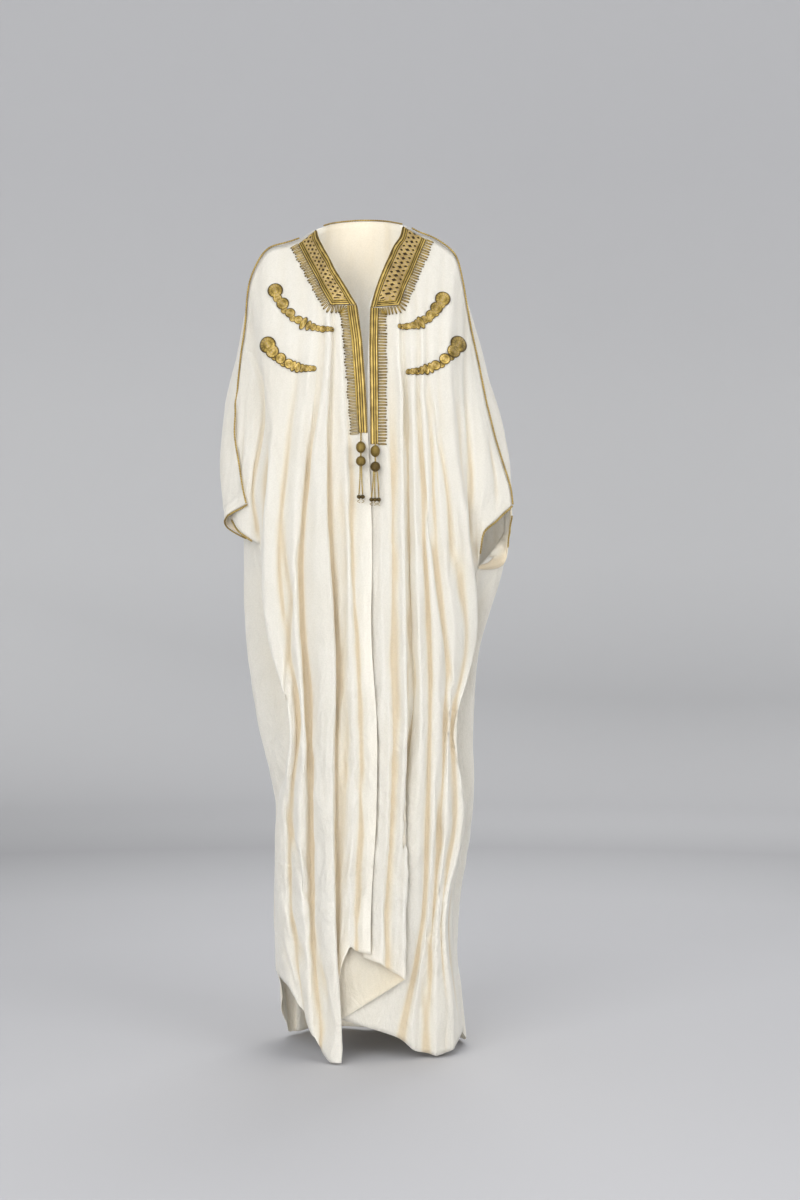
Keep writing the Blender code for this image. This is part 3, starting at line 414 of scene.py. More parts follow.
# Chains of overlapping discs: a curve from the large disc to the small end, and the discs on it.
Disc = namedtuple("Disc", "radius squeeze aside")
Chain = namedtuple("Chain", "name start turn end discs")
UPPER_DISCS = (
    Disc(12.5, 1.0, 0.0), Disc(7.5, 1.0, 2.0), Disc(10.3, 1.0, -1.5), Disc(5.8, 1.0, 3.5),
    Disc(8.3, 1.0, -1.5), Disc(5.6, 1.0, 3.0), Disc(7.3, 1.0, -1.5), Disc(11.5, 0.42, 0.0),
    Disc(8.8, 0.5, 0.0), Disc(6.6, 0.8, 0.0), Disc(5.4, 1.0, 0.0), Disc(5.8, 1.0, 0.0),
    Disc(4.8, 1.0, 0.0), Disc(4.4, 1.0, 0.0),
)
LOWER_DISCS = (
    Disc(13.6, 1.0, 0.0), Disc(10.8, 1.0, 0.0), Disc(5.8, 1.0, 3.5), Disc(9.2, 1.0, -1.5),
    Disc(5.8, 1.0, 3.0), Disc(8.2, 1.0, -1.0), Disc(9.2, 0.45, 0.0), Disc(9.0, 0.55, 0.0),
    Disc(7.0, 0.7, 0.0), Disc(6.0, 1.0, 0.0), Disc(5.3, 1.0, 0.0), Disc(4.8, 1.0, 0.0),
)
CHAINS = (
    Chain("upper_chain_right", (-168, 1399), (-137, 1321), (-63, 1321), UPPER_DISCS),
    Chain("lower_chain_right", (-180, 1295), (-150, 1246), (-95, 1249), LOWER_DISCS),
    Chain("upper_chain_left", (140, 1382), (112, 1322), (62, 1327), UPPER_DISCS),
    Chain("lower_chain_left", (169, 1298), (140, 1244), (77, 1243), LOWER_DISCS),
)
DISC_SIDES = 28
DISC_SCALE = 1.13
DISC_PROFILE = ((0.02, 0.0), (1.0, 0.0), (1.02, 0.5), (0.97, 0.95), (0.88, 1.35), (0.74, 1.75), (0.58, 1.7),
                (0.48, 1.35), (0.36, 1.75), (0.2, 2.05), (0.02, 2.1))
# Tone at each profile point, from the underside round the rim to the middle: dark at the rim, partly an outline and
# partly painted shade, a darker stitched ring, and brighter towards the middle as painted highlight.
DISC_TONES = (0.0, 0.0, 0.03, 0.16, 0.56, 0.8, 0.78, 0.58, 0.74, 0.84, 0.86)

# A tassel: where its cord leaves the placket, its two wrapped balls, and its strands' knots.
Tassel = namedtuple("Tassel", "name x top balls strand_end strands")
Ball = namedtuple("Ball", "height half_width half_height tone")
TASSEL_RIGHT = Tassel(
    "tassel_right", -9, 1131, (Ball(1105, 8.8, 10.4, 0.46), Ball(1080, 9.0, 9.0, 0.42)), 1012, (-3.4, 3.4)
)
TASSEL_LEFT = Tassel(
    "tassel_left", 17, 1110.5, (Ball(1098, 8.8, 10.6, 0.46), Ball(1070, 9.0, 9.2, 0.3)), 1007, (-7.0, -0.4, 6.4)
)
TASSEL_CORD_RADIUS = 1.5
STRAND_RADIUS = 1.3
KNOT_RADIUS = 3.9
KNOT_HEIGHT = 7.5
KNOT_TAIL = 10.0

CORD_RADIUS = 1.7
CORD_SIDES = 12
CORD_STEP = 1.1
CORD_GAP = 0.45
SEAM_STEP = 4.0
SEAM_PASSES = 10
EDGE_RADIUS = 1.25
EDGE_PITCH = 3.6
EDGE_TONES = (0.28, 0.3)
CUFF_CORD_GAP = 0.9
PLY_PITCH = 5.0
CLOTH_CELL = 1.5


# Sizes and colours that a user would change.


class KaftanCloth(bpy.types.PropertyGroup):
    """Sizes and colours of the cloth."""

    shell: bpy.props.FloatProperty(
        name="Shell", description="Thickness of the cloth", default=0.0012, min=0.0005, unit="LENGTH"
    )
    crease: bpy.props.FloatProperty(
        name="Creases", description="Depth of the creases, as a share of their table", default=1.0
    )
    crinkle: bpy.props.FloatProperty(
        name="Crinkles", description="Depth of the crinkles, as a share of their table", default=1.0
    )
    cream: bpy.props.FloatVectorProperty(
        name="Cream", description="Colour of the cloth", default=(0.785, 0.74, 0.635), subtype="COLOR", size=3
    )
    # The tan is painted shade deep in the folds and on the insides, and also the real colour of the facings inside the
    # sleeves' ends.
    tan: bpy.props.FloatVectorProperty(
        name="Tan", description="Warmer colour deep in the folds", default=(0.66, 0.53, 0.36), subtype="COLOR",
        size=3,
    )


class KaftanGold(bpy.types.PropertyGroup):
    """Sizes of the gold work."""

    loop_length: bpy.props.FloatProperty(
        name="Loop length", description="Length of the small loops beside the bands", default=0.015,
        unit="LENGTH",
    )
    loop_pitch: bpy.props.FloatProperty(
        name="Loop pitch", description="Distance from one loop to the next", default=0.0054, unit="LENGTH"
    )
    loop_radius: bpy.props.FloatProperty(
        name="Loop thread", description="Half the thickness of a loop's thread", default=0.00095, unit="LENGTH"
    )
    shine: bpy.props.FloatProperty(
        name="Shine", description="How metallic the gold thread is", default=0.55, min=0.0, max=1.0
    )


class KaftanStage(bpy.types.PropertyGroup):
    """The floor, the wall and the lights."""

    light: bpy.props.FloatProperty(
        name="Light", description="Strength of the main light in watts", default=172.0, min=0.0
    )
    ambient: bpy.props.FloatProperty(
        name="Ambient", description="Strength of the even light from all round", default=0.74, min=0.0
    )
    floor: bpy.props.FloatVectorProperty(
        name="Floor", description="Colour of the floor", default=(0.60, 0.60, 0.60), subtype="COLOR", size=3
    )


# Shapes: points in millimetres above the floor, corner numbers of the faces, and values at each point.

Shape = namedtuple("Shape", "points quads triangles uv tone")


def join(shapes):
    """All the shapes' points and faces as one shape, with the later corner numbers moved up."""
    starts = np.cumsum([0] + [len(shape.points) for shape in shapes[:-1]])
    return Shape(
        np.concatenate([shape.points for shape in shapes]),
        np.concatenate([shape.quads + start for shape, start in zip(shapes, starts)]),
        np.concatenate([shape.triangles + start for shape, start in zip(shapes, starts)]),
        np.concatenate([shape.uv for shape in shapes]),
        np.concatenate([shape.tone for shape in shapes]),
    )


def outward(shape):
    """The shape with its faces turned over if the volume they enclose comes out negative."""
    halves = [shape.triangles, shape.quads[:, [0, 1, 2]], shape.quads[:, [0, 2, 3]]]
    corners = (shape.points - shape.points[0])[np.concatenate(halves)]
    if np.einsum("ij,ij->i", corners[:, 0], np.cross(corners[:, 1], corners[:, 2])).sum() < 0:
        return shape._replace(quads=shape.quads[:, ::-1], triangles=shape.triangles[:, ::-1])
    return shape


def add_piece(name, shape, material, nodes=()):
    """A mesh object from a shape, riding on the body and standing for its CAD nodes."""
    place = (shape.points - (0, 0, HELD_HEIGHT)) * MM
    mesh = bpy.data.meshes.new(name)
    mesh.from_pydata(place.tolist(), [], shape.quads.tolist() + shape.triangles.tolist())
    corner = np.empty(len(mesh.loops), np.int32)
    mesh.loops.foreach_get("vertex_index", corner)
    mesh.uv_layers.new(name="UVMap").data.foreach_set("uv", (shape.uv[corner] * MM).ravel())
    mesh.attributes.new("tone", "FLOAT", "POINT").data.foreach_set("value", shape.tone.astype(np.float32))
    mesh.materials.append(material)
    mesh.shade_smooth()
    mesh.update()
    obj = bpy.data.objects.new(name, mesh)
    bpy.context.scene.collection.objects.link(obj)
    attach(obj, BODY)
    if nodes:
        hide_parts(*nodes)
    return obj


def unit(vectors):
    """The same vectors at length one."""
    return vectors / np.maximum(np.linalg.norm(vectors, axis=-1, keepdims=True), 1e-9)


def ease(t):
    """A smooth step from 0 to 1: 3 t squared less 2 t cubed, held at both ends."""
    t = np.clip(t, 0, 1)
    return t * t * (3 - 2 * t)


def smooth_through(knots, values, at):
    """Cubic pieces through the values, each knot's slope being that between its two neighbours."""
    knots = np.asarray(knots, float)
    values = np.asarray(values, float)
    slopes = np.gradient(values, knots, axis=0)
    i = np.clip(np.searchsorted(knots, at) - 1, 0, len(knots) - 2)
    step = knots[i + 1] - knots[i]
    t = (np.clip(at, knots[0], knots[-1]) - knots[i]) / step
    shape = (-1,) + (1,) * (values.ndim - 1)
    t = t.reshape(shape)
    step = step.reshape(shape)
    return (
        (2 * t**3 - 3 * t**2 + 1) * values[i]
        + (t**3 - 2 * t**2 + t) * step * slopes[i]
        + (3 * t**2 - 2 * t**3) * values[i + 1]
        + (t**3 - t**2) * step * slopes[i + 1]
    )


def run_along(points):
    """Distance from the first point to each, along the straight pieces between them."""
    return np.concatenate([[0], np.cumsum(np.linalg.norm(np.diff(points, axis=0), axis=1))])


def even(points, step):
    """Points about a step apart along the line through the given ones."""
    run = run_along(points)
    at = np.linspace(0, run[-1], max(int(run[-1] / step), 2) + 1)
    return np.stack([np.interp(at, run, column) for column in points.T], axis=1)


def near(points, line):
    """Distance from each point to the nearest point of a line."""
    flat = points.reshape(-1, points.shape[-1])
    least = np.full(len(flat), np.inf)
    for part in np.array_split(np.asarray(line, float), max(len(line) // 40, 1)):
        least = np.minimum(least, np.linalg.norm(flat[:, None] - part[None], axis=2).min(axis=1))
    return least.reshape(points.shape[:-1])


def uneven(u, v, crinkle):
    """Smooth noise from -1 to 1: random heights at the corners of cells, eased between them."""
    table = np.random.default_rng(crinkle.seed).uniform(-1, 1, (128, 128))
    a = u / crinkle.across
    b = v / crinkle.down
    i = np.floor(a).astype(int)
    j = np.floor(b).astype(int)
    s = ease(a - i)
    t = ease(b - j)

    def corner(di, dj):
        return table[(i + di) % 128, (j + dj) % 128]

    return (1 - s) * ((1 - t) * corner(0, 0) + t * corner(0, 1)) + s * (
        (1 - t) * corner(1, 0) + t * corner(1, 1)
    )


def outline_depth(x, height, facing):
    """How far the garment's outline stands from its middle plane at this x, negative at the front."""
    heights = [row.height for row in OUTLINE][::-1]
    half = np.interp(height, heights, [row.right if x < 0 else row.left for row in OUTLINE][::-1])
    depth = np.interp(height, heights, [getattr(row, facing) for row in OUTLINE][::-1])
    inside = max(0.0, 1 - min(abs(x) / half, 1.0) ** OUTLINE_POWER)
    return depth * inside ** (1 / OUTLINE_POWER)


def fold_points(fold, facing):
    """A fold line's points, from its top down to its hem."""
    outward_sign = -1 if facing == "front" else 1
    points = [fold.top]
    heights = [h for h in HEIGHTS if fold.hem + 15 < h < fold.top[2] - 40]
    for height in heights + [fold.hem]:
        x = float(np.interp(height, HEIGHTS[::-1], fold.x[::-1]))
        rise = float(np.interp(height, RISE_HEIGHTS[::-1], fold.rise[::-1]))
        points.append((x, outward_sign * (outline_depth(x, height, facing) + rise), height))
    return np.array(points, float)


def down_curve(points, count):
    """Points evenly spaced in height down the smooth curve through the given ones."""
    heights = -points[:, 2]
    return smooth_through(heights, points, np.linspace(heights[0], heights[-1], count))


def fold_column(fold, facing):
    """A whole column of the grid: even steps down to the cuff level, then even steps to the hem."""
    points = fold_points(fold, facing)
    depths = np.concatenate([
        np.linspace(-fold.top[2], -CUFF_LEVEL, UPPER_ROWS + 1)[:-1],
        np.linspace(-CUFF_LEVEL, -fold.hem, LOWER_ROWS + 1),
    ])
    return smooth_through(-points[:, 2], points, depths)


def side_column(line):
    """As fold_column, from a side line's own points. A sleeve line has no rows below the cuff."""
    upper = down_curve(np.array(line.upper, float), UPPER_ROWS + 1)
    if not line.lower:
        return np.vstack([upper, np.full((LOWER_ROWS, 3), np.nan)])
    lower = down_curve(np.array(line.lower, float), LOWER_ROWS + 1)
    return np.vstack([upper, lower[1:]])


def fill_between(columns, pieces):
    """The grid with more columns, each row a smooth curve through its folds, to the sleeve's end."""
    grid = np.stack(columns, axis=1)
    count = grid.shape[1]
    fine = np.full((grid.shape[0], (count - 1) * pieces + 1, 3), np.nan)
    for r, row in enumerate(grid):
        real = np.flatnonzero(np.isfinite(row[:, 0]))
        first, last = real[0], real[-1]
        at = np.linspace(first, last, (last - first) * pieces + 1)
        fine[r, first * pieces:last * pieces + 1] = smooth_through(np.arange(first, last + 1), row[real], at)
    return fine


def shifted(grid, axis, by):
    """The grid moved along an axis, with nothing where it has moved away from."""
    moved = np.full_like(grid, np.nan)
    here = [slice(None)] * grid.ndim
    there = [slice(None)] * grid.ndim
    here[axis] = slice(by, None) if by > 0 else slice(None, by)
    there[axis] = slice(None, -by) if by > 0 else slice(-by, None)
    moved[tuple(here)] = grid[tuple(there)]
    return moved


def grid_normals(grid, facing, reach=1):
    """Unit normals from the differences along rows and columns, facing front or back as a whole."""
    def slope(axis):
        back = grid - shifted(grid, axis, reach)
        ahead = shifted(grid, axis, -reach) - grid
        both = np.where(np.isfinite(back), back, ahead)
        other = np.where(np.isfinite(ahead), ahead, back)
        both = np.where(np.isfinite(both), both, 0)
        other = np.where(np.isfinite(other), other, 0)
        return unit(both) + unit(other)

    normals = unit(np.cross(slope(1), slope(0)))
    forward = np.nanmean(np.where(np.isfinite(grid[..., 1]), normals[..., 1], np.nan)) < 0
    return normals if forward == (facing == "front") else -normals


def quads_of(grid):
    """Corner numbers of each quad of a grid whose four corners exist."""
    rows, columns = grid.shape[:2]
    index = np.arange(rows * columns).reshape(rows, columns)
    corners = np.stack([index[:-1, :-1], index[:-1, 1:], index[1:, 1:], index[1:, :-1]], axis=-1).reshape(-1, 4)
    real = np.isfinite(grid[..., 0]).ravel()
    return corners[real[corners].all(axis=1)]


def shell(outer, inner, uv, tone, inner_tone=None):
    """A closed wall between two layers of one grid: outer faces, inner faces turned over, and the rim."""
    inner_tone = tone if inner_tone is None else inner_tone
    used, faces = np.unique(quads_of(outer), return_inverse=True)
    faces = faces.reshape(-1, 4)
    count = len(used)
    ends = np.concatenate([faces[:, [0, 1]], faces[:, [1, 2]], faces[:, [2, 3]], faces[:, [3, 0]]])
    _, first, times = np.unique(np.sort(ends, axis=1), axis=0, return_index=True, return_counts=True)
    rim = ends[first[times == 1]]
    walls = np.column_stack([rim[:, 1], rim[:, 0], rim[:, 0] + count, rim[:, 1] + count])
    flat_uv = uv.reshape(-1, 2)[used]
    return outward(Shape(
        np.vstack([outer.reshape(-1, 3)[used], inner.reshape(-1, 3)[used]]),
        np.vstack([faces, faces[:, ::-1] + count, walls]),
        np.empty((0, 3), int),
        np.vstack([flat_uv, flat_uv]),
        np.concatenate([tone.ravel()[used], inner_tone.ravel()[used]]),
    ))


def skin(rings, uv, tone):
    """Closed surfaces over rows of rings, shaped (copies, rings, points, 3), with a fan at both ends."""
    copies, rows, sides = rings.shape[:3]
    ends = rings[:, [0, -1]].mean(axis=2)
    points = np.concatenate([rings.reshape(copies, -1, 3), ends], axis=1)
    index = np.arange(rows * sides).reshape(rows, sides)
    turned = np.roll(index, -1, axis=1)
    quads = np.stack([index[:-1], turned[:-1], turned[1:], index[1:]], axis=-1).reshape(-1, 4)
    first = np.column_stack([turned[0], index[0], np.full(sides, rows * sides)])
    last = np.column_stack([index[-1], turned[-1], np.full(sides, rows * sides + 1)])
    starts = (np.arange(copies) * points.shape[1])[:, None, None]
    full_uv = np.concatenate([np.broadcast_to(uv, rings.shape[:3] + (2,)).reshape(copies, -1, 2),
                              np.broadcast_to(uv, rings.shape[:3] + (2,))[:, [0, -1], 0]], axis=1)
    full_tone = np.concatenate([np.broadcast_to(tone, rings.shape[:3]).reshape(copies, -1),
                                np.broadcast_to(tone, rings.shape[:3])[:, [0, -1], 0]], axis=1)
    return outward(Shape(
        points.reshape(-1, 3),
        (quads[None] + starts).reshape(-1, 4),
        (np.vstack([first, last])[None] + starts).reshape(-1, 3),
        full_uv.reshape(-1, 2),
        full_tone.ravel(),
    ))


# The cloth.


class Panel:
    """A sheet of cloth: its outer points, the outward direction at each, and its seams."""

    def __init__(self, name, lines, facing, creases):
        columns = [fold_column(p, facing) if isinstance(p, Fold) else side_column(p) for p in lines]
        self.name = name
        self.facing = facing
        self.creases = creases
        self.grid = fill_between(columns, BETWEEN_FOLDS)
        self.grid[..., 2] = np.maximum(self.grid[..., 2], HEM_CLEARANCE)
        self.normals = grid_normals(self.grid, facing)
        self.seams = []


def column_of(lines, name):
    """The grid column of the named line among all of a panel's lines."""
    return [line.name for line in lines].index(name) * BETWEEN_FOLDS


def place_of(rows, columns):
    """Row and column numbers as arrays of one length."""
    return tuple(np.broadcast_arrays(np.atleast_1d(rows), np.atleast_1d(columns)))


def sew(front, back, front_place, back_place, inside, into, extra=0.0):
    """Lays the back's edge SEAM_GAP and any extra from the front's, and draws the cloth near it along.

    The shift fades out over the steps inside the edge. Both walls face the same way at the seam.
    """
    seam = front.grid[front_place]
    facing = unit(front.normals[front_place] + back.normals[back_place])
    facing[-1] = facing[-2]
    along = unit(np.gradient(seam, axis=0))
    inward = back.grid[inside] - seam
    inward = unit(inward - (inward * along).sum(axis=1, keepdims=True) * along)
    target = seam + inward * (SEAM_GAP + np.broadcast_to(extra, len(seam))[:, None])
    shift = target - back.grid[back_place]
    steps = 9
    for k in range(steps):
        place = (back_place[0] + into[0] * k, back_place[1] + into[1] * k)
        back.grid[place] += shift * ease(1 - k / steps)
    front.normals[front_place] = facing
    back.normals[back_place] = facing
    front.seams.append(seam)
    back.seams.append(seam)


@lru_cache(maxsize=1)
def panels():
    """The three panels, sewn to each other at the shoulders, arms and sides, then creased."""
    right_lines = FRONT_RIGHT_FOLDS + FRONT_RIGHT_SIDE
    left_lines = FRONT_LEFT_FOLDS + FRONT_LEFT_SIDE
    right = Panel("front_right_cloth", right_lines, "front", RIGHT_CREASES)
    left = Panel("front_left_cloth", left_lines, "front", LEFT_CREASES)
    back = Panel("back_cloth", BACK_LINES, "back", BACK_CREASES)
    right_neck = column_of(right_lines, RIGHT_NECK_LINE)
    left_neck = column_of(left_lines, LEFT_NECK_LINE)
    back_right_neck = column_of(BACK_LINES, "right blade crest")
    back_left_neck = column_of(BACK_LINES, "left blade crest")
    last = back.grid.shape[1] - 1
    right_end = right.grid.shape[1]
    left_end = left.grid.shape[1]
    row_step = UPPER_ROWS // 8
    side_step = BETWEEN_FOLDS // 2
    back_right_top = np.arange(back_right_neck, -1, -1)
    back_left_top = np.arange(back_left_neck, last + 1)
    right_top = np.arange(right_neck, right_end)
    left_top = np.arange(left_neck, left_end)
    widening_at = (right_neck, right_neck + side_step, right_end - 1 - 3 * side_step, right_end - 1)
    right_extra = np.interp(right_top, widening_at, (NECK_POINT_GAP, 0, 0, CUFF_POINT_GAP))
    left_extra = np.interp(left_top, (left_neck, left_neck + side_step), (NECK_POINT_GAP, 0))
    sew(right, back, place_of(0, right_top), place_of(0, back_right_top),
        place_of(row_step, back_right_top + side_step), (1, 0), right_extra)
    sew(left, back, place_of(0, left_top), place_of(0, back_left_top),
        place_of(row_step, back_left_top - side_step), (1, 0), left_extra)
    below = np.arange(UPPER_ROWS, UPPER_ROWS + LOWER_ROWS + 1)
    right_side = column_of(right_lines, "side seam")
    left_side = column_of(left_lines, "side seam")
    back_right_side = column_of(BACK_LINES, "side seam")
    back_left_side = last - (left_end - 1 - left_side)
    sew(right, back, place_of(below, right_side), place_of(below, back_right_side),
        place_of(below, back_right_side + side_step), (0, 1))
    sew(left, back, place_of(below, left_side), place_of(below, back_left_side),
        place_of(below, back_left_side - side_step), (0, -1))
    sleeve = np.arange(1, UPPER_ROWS + 1)
    sew(left, back, place_of(sleeve, left_end - 1), place_of(sleeve, last),
        place_of(sleeve, last - side_step), (0, -1))
    for panel in (right, left, back):
        press_creases(panel)
    return {"right": right, "left": left, "back": back}


def crease_depth(x, height, crease):
    """A trough with a soft ridge on either side, fading out at both ends of the crease's path.

    The depth is a bell curve of the distance from the path. Each ridge is a lower bell curve 1.8 half
    widths away. The ends ease in over a sixth of the length.
    """
    path = np.array(crease.path[::-1], float)
    middle = np.interp(height, path[:, 1], path[:, 0])
    lean = np.interp(height, path[:, 1], np.gradient(path[:, 0], path[:, 1]))
    away = (x - middle) / np.sqrt(1 + lean**2) / (crease.width * CREASE_SHARE)
    low, high = path[0, 1], path[-1, 1]
    taper = (high - low) / 6 + 12
    ends = ease((height - low + taper) / (2 * taper)) * ease((high + taper - height) / (2 * taper))
    bell = np.exp(-(away**2)) - 0.42 * (np.exp(-((away - 1.8) ** 2)) + np.exp(-((away + 1.8) ** 2)))
    return crease.depth * ends * bell


def press_creases(panel):
    """Moves the cloth along its normals by its creases, crinkles, hem ridge and hem ripple."""
    sizes = bpy.context.scene.kaftan_cloth
    grid = panel.grid
    x, height = grid[..., 0], grid[..., 2]
    step = np.linalg.norm(np.diff(grid, axis=1), axis=2)
    across = np.concatenate([np.zeros((grid.shape[0], 1)), np.nancumsum(step, axis=1)], axis=1)
    across -= np.nanmean(across, axis=1, keepdims=True)
    real = np.isfinite(x)
    depth = np.zeros(x.shape)
    for crease in panel.creases:
        depth -= sizes.crease * np.where(real, crease_depth(x, height, crease), 0)
    shift = {"front_right_cloth": 0, "front_left_cloth": 3100, "back_cloth": 6300}[panel.name]
    tall = np.where(real, height, 0)
    for crinkle in CRINKLES:
        depth += sizes.crinkle * crinkle.depth * uneven(across + shift, tall, crinkle)
    crumpled = 0.15 + 0.85 * ease((CRUMPLE_LEVELS[0] - tall) / CRUMPLE_LEVELS[1])
    depth += sizes.crinkle * CRUMPLE.depth * crumpled * uneven(across + shift + 0.35 * tall, tall, CRUMPLE)
    hem = np.where(np.isfinite(grid[-1:, :, 2]), grid[-1:, :, 2], 0)
    over_hem = tall - hem
    ripple = HEM_RIPPLE.depth * uneven(across + shift, tall, HEM_RIPPLE)
    depth += ripple * ease(1 - over_hem / HEM_RIPPLE_HEIGHT)
    depth += HEM_RIDGE * ease(1 - np.abs(over_hem - HEM_FOLD) / 3)
    calm = np.ones(x.shape)
    for seam in panel.seams:
        calm *= ease(near(grid, seam[::3]) / SEAM_CALM)
    if panel.facing == "front":
        line = np.array([(BAND_RIGHT if panel.name == "front_right_cloth" else BAND_LEFT).outer_bottom,
                         (BAND_RIGHT if panel.name == "front_right_cloth" else BAND_LEFT).outer_top])
        flat = np.stack([x, tall], axis=-1)
        calm *= 0.25 + 0.75 * ease(near(flat, even(line, 8)) / BAND_CALM)
    if panel.name == "front_left_cloth":
        first = column_of(FRONT_LEFT_FOLDS, "pleat turn")
        last = column_of(FRONT_LEFT_FOLDS, "third crest")
        hidden = np.zeros(x.shape)
        hidden[:, first:last] = 1
        calm *= 1 - 0.75 * hidden * ease((700 - tall) / 200)
    calm = np.where(np.isfinite(calm), calm, 0)
    grid += panel.normals * (depth * calm)[..., None]
    grid[..., 2] = np.maximum(grid[..., 2], HEM_CLEARANCE)
    seam_normals = panel.normals.copy()
    fresh = grid_normals(grid, panel.facing, 2)
    keep = np.zeros(x.shape)
    for seam in panel.seams:
        keep = np.maximum(keep, 1 - ease(near(grid, seam[::2]) / 6))
    keep = np.where(np.isfinite(keep), keep, 0)[..., None]
    panel.normals = unit(seam_normals * keep + fresh * (1 - keep))
    panel.across = across
    # The tone is painted shade: it grows deep in the folds, where the cloth turns tan, and is held back on the chest.
    chest = ease((tall - CHEST_LEVELS[0]) / CHEST_LEVELS[1])
    panel.deep = hollow(grid, panel.normals) ** 1.4 * (1 - CHEST_FOLD_SHADE_CALM * chest)


def hollow(grid, normals):
    """From 0 on a crest to 1 deep in a fold: how far the cloth to either side stands proud of a point."""
    total = np.zeros(grid.shape[:2])
    for reach, full in ((2, 0.45), (4, 2.1)):
        sides = (shifted(grid, 1, reach) + shifted(grid, 1, -reach)) / 2 - grid
        proud = (sides * normals).sum(axis=2)
        total += np.clip(np.where(np.isfinite(proud), proud, 0) / full, 0, 1) / 2
    padded = np.pad(total, ((3, 3), (1, 1)), mode="edge")
    rows, columns = total.shape
    return sum(padded[i:i + rows, j:j + columns] for i in range(7) for j in range(3)) / 21


def panel_shape(panel):
    """The panel's closed shell, its map measured along the rows and down the cloth."""
    thickness = bpy.context.scene.kaftan_cloth.shell / MM
    down = np.broadcast_to(panel.grid[..., 2], panel.across.shape)
    uv = np.stack([panel.across, down], axis=-1)
    inner = panel.grid - panel.normals * thickness
    # The insides take painted shade, evenly and more in their hollows; the facing rows inside the sleeves' ends take
    # the full tan as their own colour.
    inner_tone = INNER_PAINTED_SHADE + INNER_HOLLOW_SHADE * hollow(panel.grid, -panel.normals)
    sleeve = ~np.isfinite(panel.grid[UPPER_ROWS + 1, :, 0])
    inner_tone[UPPER_ROWS - FACING_ROWS:UPPER_ROWS + 1, sleeve] = 1.0
    return shell(panel.grid, inner, uv, panel.deep, inner_tone)


@lru_cache(maxsize=2)
def cloth_face(side):
    """The foremost y of a front panel over cells of x and height, from its points set closer together.

    Cells that no point falls in take the mean of their neighbours, and the whole is then smoothed once.
    """
    grid = panels()[side].grid[:UPPER_ROWS + 1]
    for axis, times in ((0, 10), (1, 4)):
        at = np.arange((grid.shape[axis] - 1) * times + 1) / times
        low = np.minimum(at.astype(int), grid.shape[axis] - 2)
        part = (at - low).reshape((-1, 1, 1) if axis == 0 else (1, -1, 1))
        grid = np.take(grid, low, axis) * (1 - part) + np.take(grid, low + 1, axis) * part
    points = grid.reshape(-1, 3)
    origin = points[:, [0, 2]].min(axis=0) - 20
    cells = ((points[:, [0, 2]] - origin) / CLOTH_CELL).astype(int)
    size = cells.max(axis=0) + 16
    face = np.full(size, np.inf)
    np.minimum.at(face, (cells[:, 0], cells[:, 1]), points[:, 1])
    for _ in range(14):
        padded = np.pad(face, 1, constant_values=np.inf)
        around = np.stack([padded[1 + i:1 + i + size[0], 1 + j:1 + j + size[1]]
                           for i in (-1, 0, 1) for j in (-1, 0, 1) if i or j])
        known = np.isfinite(around)
        mean = np.where(known, around, 0).sum(axis=0) / np.maximum(known.sum(axis=0), 1)
        face = np.where(np.isfinite(face) | ~known.any(axis=0), face, mean)
    face = np.where(np.isfinite(face), face, face[np.isfinite(face)].mean())
    padded = np.pad(face, 1, mode="edge")
    face = sum(padded[1 + i:1 + i + size[0], 1 + j:1 + j + size[1]] for i in (-1, 0, 1) for j in (-1, 0, 1)) / 9
    return origin, face


def on_cloth(side, places):
    """Points (x, y, height) on a front panel's face behind the given (x, height), even between cells."""
    origin, face = cloth_face(side)
    at = (np.asarray(places, float) - origin) / CLOTH_CELL - 0.5
    low = np.clip(np.floor(at).astype(int), 0, np.array(face.shape) - 2)
    part = np.clip(at - low, 0, 1)
    i, j = low[..., 0], low[..., 1]
    s, t = part[..., 0], part[..., 1]
    y = (1 - s) * ((1 - t) * face[i, j] + t * face[i, j + 1]) + s * ((1 - t) * face[i + 1, j] + t * face[i + 1, j + 1])
    return np.stack([places[..., 0], y, places[..., 1]], axis=-1)


# The gold work.


def striped(distance, stripes):
    """Tone and height at a distance from an edge, each stripe rounded across with painted shade towards its sides, and
    dark between.
    """
    tone = np.zeros(distance.shape)
    height = np.zeros(distance.shape)
    for stripe in stripes:
        inside = (distance >= stripe.start) & (distance < stripe.end)
        along = np.clip((distance - stripe.start) / (stripe.end - stripe.start), 0, 1)
        bulge = np.sin(np.pi * along) ** 0.5
        # Painted shade: each stripe's tone falls off towards its rounded sides.
        tone = np.where(inside, stripe.tone * (0.8 + 0.2 * bulge), tone)
        height = np.where(inside, stripe.height * (0.7 + 0.3 * bulge), height)
    return tone, height


def diamonds(along, part):
    """Tone and height of a lattice: rows of dark diamonds, the middle row larger, on a pale net.

    A point is in a diamond where its shares of the half length and half width add up to less than one.
    """
    row = np.floor(part * DIAMOND_ROWS)
    v = part * DIAMOND_ROWS - row
    u = np.mod(along / DIAMOND_ALONG + 0.5 * row, 1)
    size = np.where(row == 1, 1.15, 0.85)
    spread = (np.abs(u - 0.5) / 0.3 + np.abs(v - 0.5) / 0.42) / size
    dark = ease((1.15 - spread) / 0.3)
    ring = ease(1 - np.abs(spread - 1.75) / 0.3)
    net = 0.95 + 0.05 * np.sin(along * 2.6) * np.sin(part * 40)
    tone = net + (DARK - net) * dark - 0.32 * ring
    return tone, 1.5 - 0.6 * dark + 0.35 * ring


